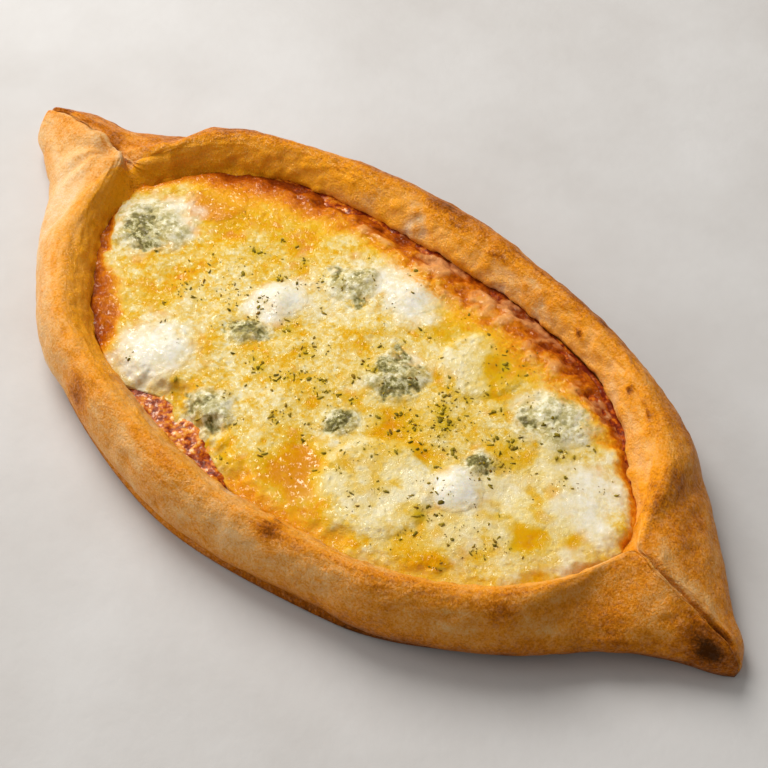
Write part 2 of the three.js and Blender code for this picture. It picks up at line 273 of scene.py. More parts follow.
def spread(spots, *place):
    """The sum at a place of soft round spots; each is a centre, a radius and a strength."""
    total = np.zeros(place[0].shape)
    for spot in spots:
        distance = sum((p - c) ** 2 for p, c in zip(place, spot)) / spot[-2] ** 2
        total += spot[-1] * np.exp(-distance)
    return total


def add_piece(name, points, faces, attributes, finish):
    """A smooth mesh from points in millimetres, with a value at each point for each named attribute."""
    mesh = bpy.data.meshes.new(name)
    mesh.from_pydata((points * MM).tolist(), [], faces)
    for key, values in attributes.items():
        mesh.attributes.new(key, "FLOAT", "POINT").data.foreach_set("value", values.astype(np.float32))
    mesh.shade_smooth()
    mesh.materials.append(finish)
    piece = bpy.data.objects.new(name, mesh)
    bpy.context.collection.objects.link(piece)
    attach(piece, "root")
    return piece


def rim_points(outer, lip, height, floor, free, inward):
    """The rim's nine turning points in a cross section, from its foot over the crest to the well floor."""
    thick = np.abs(lip - outer)
    foot = outer + inward * np.minimum(FOOT_INSET[0], FOOT_INSET[1] * thick)
    skirt = outer + inward * np.minimum(SKIRT_INSET[0], SKIRT_INSET[1] * thick)
    crest = outer + inward * thick * mix(CREST_SHARE[0], CREST_SHARE[1], free)
    brow_height = mix(height - BROW_SHARE * CREASE_DEPTH, BROW_HEIGHT * height, free)
    lip_height = mix(height - LIP_DROP, LIP_HEIGHT * height, free)
    wall = lip - inward * UNDERCUT * free
    shoulder_height = mix(SHOULDER_HEIGHT[0], SHOULDER_HEIGHT[1], free) * height
    return [(foot, 0 * foot), (skirt, SKIRT_HEIGHT * height), (outer, BULGE_HEIGHT * height),
            (mix(outer, crest, SHOULDER_SHARE), shoulder_height), (crest, height),
            (lip - inward * BROW_SHARE * thick * free, brow_height), (lip, lip_height),
            (wall, (floor + lip_height) / 2), (wall + inward * FLOOR_FILLET * free, floor)]


stations = np.concatenate([
    np.linspace(start, end, steps, endpoint=False)
    for start, end, steps in zip(STATION_ENDS, STATION_ENDS[1:], STATION_STEPS)] + [STATION_ENDS[-1:]])
seam = along(SEAM, stations)
in_well = (stations > WELL_ENDS[0]) & (stations < WELL_ENDS[1])
near_lip = np.minimum(np.where(in_well, along(NEAR_LIP, stations), seam), seam - CREASE_HALF_WIDTH)
far_lip = np.maximum(np.where(in_well, along(FAR_LIP, stations), seam), seam + CREASE_HALF_WIDTH)
gap = far_lip - near_lip
free = smoothstep(gap, 0, np.where(stations < 0, *FREE_WIDTHS))
deep = smoothstep(gap, 0, DEEP_WIDTH)
near_height = along(NEAR_HEIGHT, stations)
far_height = along(FAR_HEIGHT, stations)
floor = mix(np.minimum(near_height, far_height) - CREASE_DEPTH, FLOOR_HEIGHT, deep)
near_side = along(NEAR_SIDE, stations)
far_side = along(FAR_SIDE, stations)
near_rim = rim_points(near_side, near_lip, near_height, floor, free, 1)
far_rim = rim_points(far_side, far_lip, far_height, floor, free, -1)
under_middle = ((near_side + far_side) / 2, 0 * floor)
well_middle = ((near_lip + far_lip) / 2, floor)
ring = np.array([under_middle] + near_rim + [well_middle] + far_rim[::-1])
ring_y, ring_z, ring_part = [], [], []
parts = np.array([0, *range(RIM_TURNS), RIM_TURNS - 1, *range(RIM_TURNS - 1, -1, -1)], float)
for k, steps in enumerate(RING_STEPS):
    turning_points = [ring[(k + onward) % len(ring)] for onward in (-1, 0, 1, 2)]
    for t in np.arange(steps) / steps:
        point = curve_through(*turning_points, t)
        ring_y.append(point[0])
        ring_z.append(np.maximum(point[1], 0))
        ring_part.append(mix(parts[k], parts[(k + 1) % len(parts)], t))
count = len(ring_y)
dough = np.stack([np.repeat(stations[:, None], count, 1), np.array(ring_y).T, np.array(ring_z).T], axis=-1)
part = np.repeat(np.array(ring_part)[None, :], len(stations), 0)
is_far = np.repeat((np.arange(count) > sum(RING_STEPS[:RIM_TURNS + 1]))[None, :], len(stations), 0)

# Corners that the fingers rounded: a place along the boat, a reach, the first rim part and how many rounds.
CORNERS = [(-95, 20, 2.8, 150), (95, 14, 2.8, 120), (0, 120, 3.6, 14), (109, 8, 6.0, 12)]
CORNER_FADE = 1.5
CORNER_PULL = 0.7
# Finger dents: a centre, a radius and a depth.
DENTS = [(113, -8, 10, 4), (109, 17, 6, 1.5), (-111, 5.5, 4.5, 4)]
DENT_HEIGHTS = (10, 14)
for x, reach, first_part, rounds in CORNERS:
    soft = bell(dough[..., 0], x, reach) * smoothstep(part, first_part, first_part + CORNER_FADE)
    for _ in range(rounds):
        inner = (dough[2:] + dough[:-2] + np.roll(dough, 1, 1)[1:-1] + np.roll(dough, -1, 1)[1:-1]) / 4
        dough[1:-1] += CORNER_PULL * soft[1:-1, :, None] * (inner - dough[1:-1])
for dent in DENTS:
    hollow = spread([dent], dough[..., 0], dough[..., 1])
    dough[..., 2] -= hollow * smoothstep(dough[..., 2], *DENT_HEIGHTS)

# Ridges along the pinched ends: a start and an end, an offset from the seam, a half width and a rise.
EDGE_RIDGES = [(-142, -103, -1.8, 1.5, 1.1), (-119, -103, 4.5, 2.6, -1.3), (-140, -122, 2.8, 1.5, 0.5),
               (111, 149, -1.2, 1.3, 1.5), (114, 148, 3.2, 1.4, 0.8), (113, 148, 0.9, 0.7, -1.1)]
RIDGE_FADES = (6, 4)
RIDGE_PARTS = (2.6, 3.6)
# Random reliefs are given as an amount, a lump size, a seed and octaves.
RIDGE_WANDER = (0.5, 7, 6)
RIDGE_CRUMPLE = (0.5, 3.5, 7)
CRUST_SWELLS = [(0.75, 26, 1), (0.32, 11, 2), (0.16, 4.5, 3, 2)]
RAISED_HEIGHTS = (0.5, 4)
TIP_FADE = (150, 138)
PIT = (-110.5, 6.0)
PLEAT_COUNT = 9
PLEAT_DEPTH = 0.7
PLEAT_WANDER = (0.8, 9, 5)
PLEAT_RAY = (13, 8)
PLEAT_START = (104, 112)
PLEAT_PARTS = (2, 3.4)
BULGES = [(-101, -1, 24, 5, 0.6), (-90, 37, 24, 10, 0.6)]
ROLL_END = (-103, 8.5)
ROLL_TURN = math.radians(49)
ROLL_RUN = (-4, 0, 10.5, 13.5)
ROLL_HEIGHTS = (12, 14)
ROLL_BULGE = 1.8
ROLL_BULGE_LINE = (1.2, 2.2)
ROLL_CREASE = 1.0
ROLL_CREASE_LINE = (5.2, 1.3)
NOTCH_DEPTH = 0.6
NOTCH_RUN = (11.7, 1.6)
NOTCH_LINE = (2, 3.5)
INNER_PARTS = (4.3, 5, 6.5, 7.5)
INNER_MIDDLE = 5
INNER_REACH = 100
PUCKER_DEPTH = 0.5
PUCKERS = (1, 3.4, 13, 2)
FAR_APART = 50.0
WRINKLE_LENGTH = 3.2
WRINKLE_ROWS = 4.0
WRINKLES = (0.17, 1.0, 8, 2)
WRINKLE_PARTS = (2, 3, 6, 7)
GROOVE_PART = 4.85
GROOVE_WIDTH = 0.07
GROOVE_DEPTH = 0.28
GROOVE_WANDERS = [(0.25, 14, 9), (0.1, 4, 10)]
GROOVE_BREAKS = (1, 22, 12)
GROOVE_SHOWS = (-0.5, 0.3)
GROOVE_REACH = 98
BLISTER_SEED = 11
BLISTERS = 220
BLISTER_CLEAR = 20
BLISTER_SIZES = (0.8, 2.6)
BLISTER_RISE = 0.18


def outward(grid):
    """Unit normals of a grid of points that closes on itself round each section."""
    lengthwise = np.gradient(grid, axis=0)
    around = np.roll(grid, -1, 1) - np.roll(grid, 1, 1)
    normal = np.cross(around, lengthwise)
    return normal / np.maximum(np.linalg.norm(normal, axis=-1, keepdims=True), 1e-9)


def unrolled(x, length, rows):
    """Places for streaks that run along the rims, with the two rims kept apart."""
    return np.stack([x / length, part * rows, is_far * FAR_APART], axis=-1)


x, y, z = dough[..., 0], dough[..., 1], dough[..., 2]
upper = smoothstep(part, *RIDGE_PARTS)
for start, end, offset, width, rise in EDGE_RIDGES:
    within = between(x, start, start + RIDGE_FADES[0], end - RIDGE_FADES[1], end)
    ridge = bell(y - along(SEAM, x) - grain(dough, *RIDGE_WANDER), offset, width)
    z += rise * ridge * within * upper * (1 + grain(dough, *RIDGE_CRUMPLE))
normal = outward(dough)
swell = grains(dough, CRUST_SWELLS) + spread(BULGES, x, y, z)

turn = np.arctan2(y - PIT[1], x - PIT[0])
ray = np.hypot(x - PIT[0], y - PIT[1])
pleats = np.sin(PLEAT_COUNT * turn + grain(dough, *PLEAT_WANDER)) * bell(ray, *PLEAT_RAY)
swell += PLEAT_DEPTH * pleats * smoothstep(-x, *PLEAT_START) * smoothstep(part, *PLEAT_PARTS) * ~is_far

run = (x - ROLL_END[0]) * math.cos(ROLL_TURN) + (y - ROLL_END[1]) * math.sin(ROLL_TURN)
side = (y - ROLL_END[1]) * math.cos(ROLL_TURN) - (x - ROLL_END[0]) * math.sin(ROLL_TURN)
roll = ROLL_BULGE * bell(side, *ROLL_BULGE_LINE) - ROLL_CREASE * bell(side, *ROLL_CREASE_LINE)
notch = NOTCH_DEPTH * bell(run, *NOTCH_RUN) * bell(side, *NOTCH_LINE)
swell += (roll * between(run, *ROLL_RUN) - notch) * smoothstep(z, *ROLL_HEIGHTS) * is_far

inner_face = between(part, *INNER_PARTS) * (np.abs(x - INNER_MIDDLE) < INNER_REACH)
pucker = grain(dough, *PUCKERS)
swell += PUCKER_DEPTH * pucker * inner_face
swell += grain(unrolled(x, WRINKLE_LENGTH, WRINKLE_ROWS), *WRINKLES) * between(part, *WRINKLE_PARTS)
groove = bell(part - grains(dough, GROOVE_WANDERS), GROOVE_PART, GROOVE_WIDTH)
groove *= smoothstep(grain(dough, *GROOVE_BREAKS), *GROOVE_SHOWS) * (np.abs(x) < GROOVE_REACH)
swell -= GROOVE_DEPTH * groove

draw = np.random.default_rng(BLISTER_SEED)
rows = draw.integers(BLISTER_CLEAR, len(stations) - BLISTER_CLEAR, BLISTERS)
columns = draw.integers(0, count, BLISTERS)
sizes = draw.uniform(*BLISTER_SIZES, BLISTERS)
blisters = [(*dough[r, c], size, BLISTER_RISE * size) for r, c, size in zip(rows, columns, sizes)]
swell += spread(blisters, x, y, z)
swell *= smoothstep(z, *RAISED_HEIGHTS) * smoothstep(np.abs(x), *TIP_FADE)
dough = dough + normal * swell[..., None]
dough[..., 2] = np.maximum(dough[..., 2], 0)

# How dark each part of the rims is, from 0 for raw dough to 1 for charcoal, and how golden it is.
BAKE_PARTS = [0, 1, 2, 3, 4, 4.6, 5.0, 5.4, 6, 7, 8]
# Mostly baking; the paler brow at parts 5 to 5.4 is a painted highlight strip along the near rim.
BAKE_AND_LIGHT_NEAR = [0.72, 0.54, 0.42, 0.42, 0.50, 0.44, 0.32, 0.32, 0.40, 0.5, 0.6]
# Baking, plus painted shade on the far rim's outer side and painted light on its inner face.
BAKE_AND_LIGHT_FAR = [0.68, 0.66, 0.70, 0.70, 0.66, 0.54, 0.42, 0.36, 0.36, 0.42, 0.6]
# Golden glazing: oily crust, and painted light lifting the inner faces that lie in shade.
GLAZE_AND_LIGHT_NEAR = [0, 0, 0, 0, 0.3, 0.7, 0.9, 0.9, 1, 1, 1]
GLAZE_AND_LIGHT_FAR = [0, 0, 0, 0.1, 0.4, 0.7, 0.9, 0.9, 1, 1, 1]
# Darker and paler spots: a centre, a radius and a strength.
SCORCHES = [(-42, -62.3, 16, 6, 0.42), (35.8, -59.3, 22.5, 3.4, 0.4), (97.3, -32.7, 19.5, 4.2, 0.3),
            (105, 34, 22, 3.6, 0.2), (103, 23, 20, 8, 0.24), (-88, 38, 26, 8, 0.12),
            (49.4, 55.4, 21, 1.8, 0.5), (74.8, 48.6, 22, 1.5, 0.5), (54, 61, 23, 1.8, 0.34),
            (137, 2.5, 14, 4.5, 0.3), (142, 3.5, 10, 4.5, 0.6), (148, 5, 6, 4, 0.08),
            (131, 3, 18, 4, 0.14), (-95, -13, 25, 6, 0.08), (-80, -33, 25, 7, 0.08),
            (-101, 3, 25, 3, 0.12), (-147, 9, 15, 4, 0.2), (-141, 11, 18, 3, 0.14),
            (-118, 13, 21, 4, 0.1), (88, 45, 23, 8, 0.14), (-15, 62.5, 24, 6, 0.18),
            (-3, 61, 24, 6, 0.08), (-17, 60.5, 24, 5, 0.12), (-7.5, 60.4, 23, 4, 0.1),
            (12, 61, 23, 4, 0.12), (34, 57.6, 21.5, 3, 0.08), (116.9, -9.6, 21, 5, 0.16),
            (120.0, -12.4, 15, 5, 0.16), (114.8, 4.3, 23, 5, 0.1)]
# Paler spots: partly paler dough, partly painted light at the left end and painted highlights on the far
# rim.
PALE_AND_HIGHLIGHT_SPOTS = [(-110, -19, 20, 9, 0.2), (-122, -4, 21, 9, 0.06), (-112, 20, 20, 8, 0.16),
              (-100, -30, 14, 12, 0.12), (-70, -62, 12, 16, 0.10), (-99, 13, 17, 6, 0.08),
              (118, 10, 20, 4, 0.14), (127, 9, 17, 3.5, 0.12), (136, 9, 13, 3, 0.1),
              (-22, 56.5, 22, 7, 0.1), (60, 50, 20, 10, 0.1), (90, 36, 20, 10, 0.1)]
BAKE_EASE = 0.05
BAKE_BLOTCHES = [(0.06, 19, 21, 2), (0.035, 5, 25, 2)]
STREAK_LENGTH = 9
STREAK_ROWS = 3.5
STREAKS = (0.06, 1.0, 27, 3)
STREAK_PARTS = (1.5, 3)
# Painted shade darkening the groove along the rims' brows.
GROOVE_PAINTED_SHADE = 0.1
# Painted light and shade on the inner faces' puckers: paler where they bulge, darker in the dips.
PUCKER_PAINTED_LIGHT = 0.16
# Painted shade low on the near wall at the right end, which faces away from the light.
RIGHT_FOOT_PAINTED_SHADE = 0.2
RIGHT_FOOT_RUN = (0, 70)
RIGHT_FOOT_HEIGHTS = (6, 17)
LEFT_INSIDE_BROWNING = 0.1
LEFT_INSIDE_RUN = (70, 88)
LEFT_INSIDE_PARTS = (4.4, 5)
# Painted shade darkening the near wall towards the right, and painted light paling its left end.
RIGHT_PAINTED_SHADE = 0.07
RIGHT_RUN = (-60, 90)
LEFT_PAINTED_LIGHT = 0.06
LEFT_RUN = (40, 110)
# Painted light paling the far rim's outer side at the right end, where it lies in shade.
FAR_RIGHT_PAINTED_LIGHT = 0.15
FAR_RIGHT_RUN = (65, 95)
FAR_RIGHT_PARTS = (3.8, 4.8)
BLISTER_REACH = 0.8
BLISTER_BROWNING = 0.03
# The glazing is whole at the shaded left end and weaker to the right, where the window lights it.
GLAZE_PATCHES = (1, 9, 29, 2)
GLAZE_SHOWS = (-1.1, 0.3)
GLAZE_WHOLE_WHERE_SHADED = (20, 60)
GLAZE_MIDDLE = 4
GLAZE_REACH = 106
GLAZE_LOSS_WHERE_LIT = 0.42
GLAZE_LOSS_WHERE_LIT_RUN = (-50, 20)
x, y, z = dough[..., 0], dough[..., 1], dough[..., 2]
# Crust darkness: baking, with painted light and shade as the notes above say.
bake_and_painted_light = np.where(is_far, np.interp(part, BAKE_PARTS, BAKE_AND_LIGHT_FAR), np.interp(part, BAKE_PARTS, BAKE_AND_LIGHT_NEAR))
bake_and_painted_light += grains(dough, BAKE_BLOTCHES) - BAKE_EASE
bake_and_painted_light += grain(unrolled(x, STREAK_LENGTH, STREAK_ROWS), *STREAKS) * smoothstep(part, *STREAK_PARTS)
# Painted shade in the groove; painted light and shade on the puckers, paler where they bulge.
bake_and_painted_light += GROOVE_PAINTED_SHADE * groove - PUCKER_PAINTED_LIGHT * pucker * inner_face
# Near side: painted shade low on the right wall and towards the right, painted light at the left end.
near_bake_and_light = RIGHT_FOOT_PAINTED_SHADE * smoothstep(x, *RIGHT_FOOT_RUN) * (1 - smoothstep(z, *RIGHT_FOOT_HEIGHTS))
near_bake_and_light += LEFT_INSIDE_BROWNING * smoothstep(-x, *LEFT_INSIDE_RUN) * smoothstep(part, *LEFT_INSIDE_PARTS)
near_bake_and_light += RIGHT_PAINTED_SHADE * smoothstep(x, *RIGHT_RUN) - LEFT_PAINTED_LIGHT * smoothstep(-x, *LEFT_RUN)
# Far side: painted light on the shaded outer side at the right end.
far_right_painted_light = FAR_RIGHT_PAINTED_LIGHT * smoothstep(x, *FAR_RIGHT_RUN) * (1 - smoothstep(part, *FAR_RIGHT_PARTS))
bake_and_painted_light += np.where(is_far, -far_right_painted_light, near_bake_and_light)
# Darker spots, and paler spots that include painted light and painted highlights.
bake_and_painted_light += spread(SCORCHES, x, y, z) - spread(PALE_AND_HIGHLIGHT_SPOTS, x, y, z)
blister_tops = [(*blister[:3], BLISTER_REACH * blister[3], BLISTER_BROWNING * blister[3])
                for blister in blisters]
bake_and_painted_light += spread(blister_tops, x, y, z)
# Glazing: oily crust, and painted light on the shaded inner faces.
glaze_and_painted_light = np.where(is_far, np.interp(part, BAKE_PARTS, GLAZE_AND_LIGHT_FAR), np.interp(part, BAKE_PARTS, GLAZE_AND_LIGHT_NEAR))
glaze_and_painted_light *= np.maximum(smoothstep(grain(dough, *GLAZE_PATCHES), *GLAZE_SHOWS), smoothstep(-x, *GLAZE_WHOLE_WHERE_SHADED))
glaze_and_painted_light *= (np.abs(x - GLAZE_MIDDLE) < GLAZE_REACH) * (1 - GLAZE_LOSS_WHERE_LIT * smoothstep(x, *GLAZE_LOSS_WHERE_LIT_RUN))

CRUST_TONES = [(0.05, (0.82, 0.62, 0.42, 1)), (0.20, (0.81, 0.52, 0.25, 1)), (0.36, (0.79, 0.39, 0.105, 1)),
               (0.50, (0.75, 0.26, 0.012, 1)), (0.64, (0.54, 0.155, 0.003, 1)),
               (0.78, (0.33, 0.085, 0.003, 1)), (0.90, (0.16, 0.045, 0.005, 1)),
               (1.0, (0.07, 0.02, 0.003, 1))]
# The glazing colour, which also paints light on the shaded inner faces.
CRUST_GLAZE_AND_LIGHT = (1.0, 0.40, 0.012, 1)
CRUST_SHADER = [("Specular Tint", (1, 0.8, 0.5, 1)), ("Subsurface Weight", 0.1),
                ("Subsurface Scale", 1.2 * MM), ("Subsurface Radius", (1.0, 0.45, 0.15))]
CRUST_BLOTCH = (330.0, 4.0, 0.6)
CRUST_SKIN = (1500.0, 4.0, 0.7)
CRUST_GRIT = (620.0, 3.0, 0.6)
CRUST_GLINTS = (700.0, 3.0, 0.6)
CRUST_RELIEF = (1.0, 0.6 * MM)
BLOTCH_SWING = 0.22
SKIN_SWING = 0.65
BLOTCH_MATT = 0.3
GLAZE_SHINE = 0.2
CRUST_ROUGHNESS = 0.26
# Turns of one value into another: from and to for the first, then start and end for the second.
GLAZE_BURNT_OFF = (0.5, 0.75, 1, 0)
GLINT_GLOSS = (0.48, 0.62, 0.08, 1.0)
CHAR_DULLING = (0.65, 0.9, 1, 0.15)
INSIDE_DULLING = (0.5, 1.0, 1, 0.3)
SPECKLE_MIDDLE = 0.5


def attribute(tree, name):
    return add_node(tree, "ShaderNodeAttribute", attribute_name=name).outputs["Fac"]


def sums(tree, kind, first, second):
    """The value socket of an arithmetic node."""
    return add_node(tree, "ShaderNodeMath", [(0, first), (1, second)], operation=kind).outputs[0]


def swing(tree, value, amount):
    """The value socket of a speckle's swing about its middle, times that amount."""
    return sums(tree, "MULTIPLY", sums(tree, "SUBTRACT", value, SPECKLE_MIDDLE), amount)


def remap(tree, value, low, high, start=0.0, end=1.0):
    """The value socket of a map from low and high to start and end, level beyond them."""
    inputs = [("Value", value), ("From Min", low), ("From Max", high), ("To Min", start), ("To Max", end)]
    return add_node(tree, "ShaderNodeMapRange", inputs).outputs["Result"]


def blend(tree, factor, first, second):
    """The colour socket of a mix from the first colour to the second."""
    inputs = [(0, factor), (6, first), (7, second)]
    return add_node(tree, "ShaderNodeMix", inputs, data_type="RGBA").outputs[2]


crust, tree, shader = new_finish("crust_finish", CRUST_SHADER)
blotch = speckle(tree, *CRUST_BLOTCH)
skin = speckle(tree, *CRUST_SKIN)
tone = sums(tree, "ADD", attribute(tree, "bake_and_painted_light"), swing(tree, blotch, BLOTCH_SWING))
tone = sums(tree, "ADD", tone, swing(tree, skin, SKIN_SWING))
# The glazing share: oily crust, and painted light on shaded inner faces.
golden = attribute(tree, "glaze_and_painted_light")
glaze_and_light_mix = sums(tree, "MULTIPLY", golden, remap(tree, tone, *GLAZE_BURNT_OFF))
colour = blend(tree, glaze_and_light_mix, ramp(tree, tone, CRUST_TONES), CRUST_GLAZE_AND_LIGHT)
tree.links.new(colour, shader.inputs["Base Color"])
matt = sums(tree, "MULTIPLY", blotch, BLOTCH_MATT)
matt = sums(tree, "SUBTRACT", matt, sums(tree, "MULTIPLY", golden, GLAZE_SHINE))
tree.links.new(sums(tree, "ADD", matt, CRUST_ROUGHNESS), shader.inputs["Roughness"])
gloss = remap(tree, speckle(tree, *CRUST_GLINTS), *GLINT_GLOSS)
gloss = sums(tree, "MULTIPLY", gloss, remap(tree, tone, *CHAR_DULLING))
gloss = sums(tree, "MULTIPLY", gloss, remap(tree, golden, *INSIDE_DULLING))
tree.links.new(gloss, shader.inputs["Specular IOR Level"])
bump(tree, shader, sums(tree, "ADD", skin, speckle(tree, *CRUST_GRIT)), *CRUST_RELIEF)

rows = np.arange(len(stations) - 1)[:, None] * count
here = rows + np.arange(count)[None, :]
beside = rows + (np.arange(count)[None, :] + 1) % count
quads = np.stack([here, here + count, beside + count, beside], axis=-1).reshape(-1, 4)
last = (len(stations) - 1) * count
ends = [list(range(count)), list(range(last + count - 1, last - 1, -1))]
boat = add_piece("baked_dough_boat", dough.reshape(-1, 3), quads.tolist() + ends,
                 {"bake_and_painted_light": bake_and_painted_light.ravel(), "glaze_and_painted_light": glaze_and_painted_light.ravel()}, crust)
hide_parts("dough_boat")

# The sauce: a thin bed of cooked tomato, spread on the dough before the cheese and shut in by the rims. It
# is a dark, oily red-brown towards the far rim, partly dried there and partly painted shade under the lip,
# and it has bubbled up where the cheese leaves it bare.
SAUCE_ENDS = (-100.6, 109.6)
SAUCE_UNDERLAP = 1.0
SAUCE_LEVEL = 13.0
SAUCE_UNDERSIDE = 8.6
SAUCE_GRID = (370, 184)
SAUCE_BUBBLE = 2.3
SAUCE_RIPPLES = (0.4, 6, 31, 2)
BARE_RUN = (-13, 20)
BARE_ACROSS = (-50, 10)
FROTH_MIDDLE = 0.6
FROTH_RISE = 0.2
BARE_FROTH_RISE = 0.5
# Bubble tops are paler and clefts darker: partly the froth's colour, partly painted highlight and shade.
FROTH_TONE = 0.4
BARE_FROTH_TONE = 0.6
SAUCE_TONE = 0.25
BARE_TONE = 0.13
# Painted shade under the far rim, with some dried sauce, darkening it towards that rim.
FAR_BURN_AND_SHADE = 0.1
FAR_DARK_RUN = (-40, 0)
FAR_DARK_ACROSS = (15, 35)
BUBBLE_BEND = 0.35
BUBBLE_BEND_SIZE = 0.6
BIG_BUBBLES = 0.85
SMALL_BUBBLES = 0.25
SMALL_BUBBLE_SIZE = 0.4
BUBBLE_SINK = 0.1


def spread_layer(near, far, x, columns):
    """Plan points of a layer between a near and a far edge, in rows along x."""
    share = np.linspace(0, 1, columns)[None, :]
    return np.repeat(x[:, None], columns, 1), mix(near[:, None], far[:, None], share)


def shut_layer(top, underside):
    """Points and faces of a layer: the given top, a wall below its edge and a flat underside."""
    rows, columns = top.shape[:2]
    index = np.arange(rows * columns).reshape(rows, columns)
    quads = np.stack([index[:-1, :-1], index[1:, :-1], index[1:, 1:], index[:-1, 1:]], -1).reshape(-1, 4)
    edge = np.concatenate([index[:-1, 0], index[-1, :-1], index[:0:-1, -1], index[0, :0:-1]])
    lower = np.arange(len(edge)) + rows * columns
    onward = np.roll(np.arange(len(edge)), -1)
    walls = np.stack([edge, lower, lower[onward], edge[onward]], -1)
    skirt = top.reshape(-1, 3)[edge].copy()
    skirt[:, 2] = underside
    points = np.concatenate([top.reshape(-1, 3), skirt])
    return points, quads.tolist() + walls.tolist() + [lower[::-1].tolist()]


def with_skirt(values, points):
    """Values for a shut layer's points; those below its edge are nought."""
    return np.concatenate([values.ravel(), np.zeros(len(points) - values.size)])


def crumbs(x, y, size, seed):
    """Rounded grains packed side by side: 1 at the middle of each and falling to its edge."""
    nearest = np.full(x.shape, np.inf)
    cell_x = np.floor(x / size).astype(np.int64)
    cell_y = np.floor(y / size).astype(np.int64)
    for i in (-1, 0, 1):
        for j in (-1, 0, 1):
            cell = np.stack([cell_x + i, cell_y + j, 0 * cell_x], -1)
            middle_x = (cell[..., 0] + scatter(cell, seed)) * size
            middle_y = (cell[..., 1] + scatter(cell, seed + 1)) * size
            nearest = np.minimum(nearest, np.hypot(x - middle_x, y - middle_y) / size)
    return 1 - np.minimum(nearest, 1) ** 2


def froth_share(x, y, size):
    """The bubbling of sauce and toasted cheese: 0 in the clefts and 1 on top of the bubbles."""
    place = flat_points(x, y)
    bent_x = x + grain(place, BUBBLE_BEND * size, BUBBLE_BEND_SIZE * size, 33, 2)
    bent_y = y + grain(place, BUBBLE_BEND * size, BUBBLE_BEND_SIZE * size, 34, 2)
    big = BIG_BUBBLES * crumbs(bent_x, bent_y, size, 35)
    small = SMALL_BUBBLES * crumbs(bent_x, bent_y, SMALL_BUBBLE_SIZE * size, 36)
    return np.clip(big + small - BUBBLE_SINK, 0, 1)


x = np.linspace(*SAUCE_ENDS, SAUCE_GRID[0])
near = along(NEAR_LIP, x) - SAUCE_UNDERLAP
far = along(FAR_LIP, x) + SAUCE_UNDERLAP
x, y = spread_layer(near, far, x, SAUCE_GRID[1])
bare = bell(x, *BARE_RUN) * bell(y, *BARE_ACROSS)
froth = froth_share(x, y, SAUCE_BUBBLE) - FROTH_MIDDLE
height = SAUCE_LEVEL + (FROTH_RISE + BARE_FROTH_RISE * bare) * froth
height += grain(flat_points(x, y), *SAUCE_RIPPLES)
points, faces = shut_layer(np.stack([x, y, height], -1), SAUCE_UNDERSIDE)
# Paler bubble tops and darker clefts: partly painted highlight and painted shade.
froth_tone = froth * (FROTH_TONE + BARE_FROTH_TONE * bare) + SAUCE_TONE + BARE_TONE * bare
# Darker towards the far rim: dried sauce and painted shade under the lip.
froth_tone -= FAR_BURN_AND_SHADE * smoothstep(y, *FAR_DARK_ACROSS) * smoothstep(x, *FAR_DARK_RUN)

SAUCE_TONES = [(0.10, (0.15, 0.014, 0.004, 1)), (0.34, (0.36, 0.055, 0.006, 1)),
               (0.55, (0.60, 0.15, 0.008, 1)), (0.76, (0.76, 0.31, 0.018, 1)),
               (0.98, (0.80, 0.48, 0.16, 1))]
SAUCE_SHADER = [("Roughness", 0.2), ("Specular Tint", (1, 0.8, 0.6, 1)), ("Subsurface Weight", 0.1),
                ("Subsurface Scale", 1.0 * MM), ("Subsurface Radius", (1.0, 0.3, 0.1))]
SAUCE_STIR = (420.0, 4.0, 0.65)
STIR_SWING = 2.5
SAUCE_GLINTS = (800.0, 3.0, 0.6)
SAUCE_GLOSS = (0.55, 0.64, 0.08, 1.0)
SAUCE_GRIT = (1200.0, 3.0)
SAUCE_RELIEF = (0.4, 0.3 * MM)
sauce_finish, tree, shader = new_finish("sauce_finish", SAUCE_SHADER)
stir = swing(tree, speckle(tree, *SAUCE_STIR), STIR_SWING)
stirred = sums(tree, "ADD", attribute(tree, "froth"), stir)
tree.links.new(ramp(tree, stirred, SAUCE_TONES), shader.inputs["Base Color"])
wet = remap(tree, speckle(tree, *SAUCE_GLINTS), *SAUCE_GLOSS)
tree.links.new(wet, shader.inputs["Specular IOR Level"])
bump(tree, shader, speckle(tree, *SAUCE_GRIT), *SAUCE_RELIEF)
sauce = add_piece("tomato_sauce_bed", points, faces, {"froth": with_skirt(froth_tone, points)},
                  sauce_finish)
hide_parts("tomato_sauce")

# The melted cheese: grated yellow cheese, strewn over the sauce and run together in the oven with all that
# lies on it. It is grainy and pale where it only melted, orange where its oil pooled, brown at the far rim.
# Right at the rims its darkest brown is partly painted shade under the lips.
CHEESE_ENDS = (-98, 107)
CHEESE_OUTREACH = 2.6
CHEESE_OVERLAP = 0.5
CHEESE_LEVEL = 15
CHEESE_CROWN = 1.2
CHEESE_LOW = 13.1
CHEESE_BRIM = 14.7
CHEESE_UNDERSIDE = 9.4
CHEESE_GRID = (410, 222)
NEAR_MARGIN = [[-97, 1], [-70, 0.5], [-45, 0.5], [-38, 2.5], [-32, 6.5], [-22, 11], [-4, 9.5], [5, 6.5],
               [14, 3], [26, 1.5], [60, 1.5], [106, 2]]
FAR_MARGIN = [[-97, 2], [-80, 3], [-30, 3], [0, 2.5], [40, 2.8], [65, 3.5], [80, 4.2], [90, 3.5], [106, 2]]
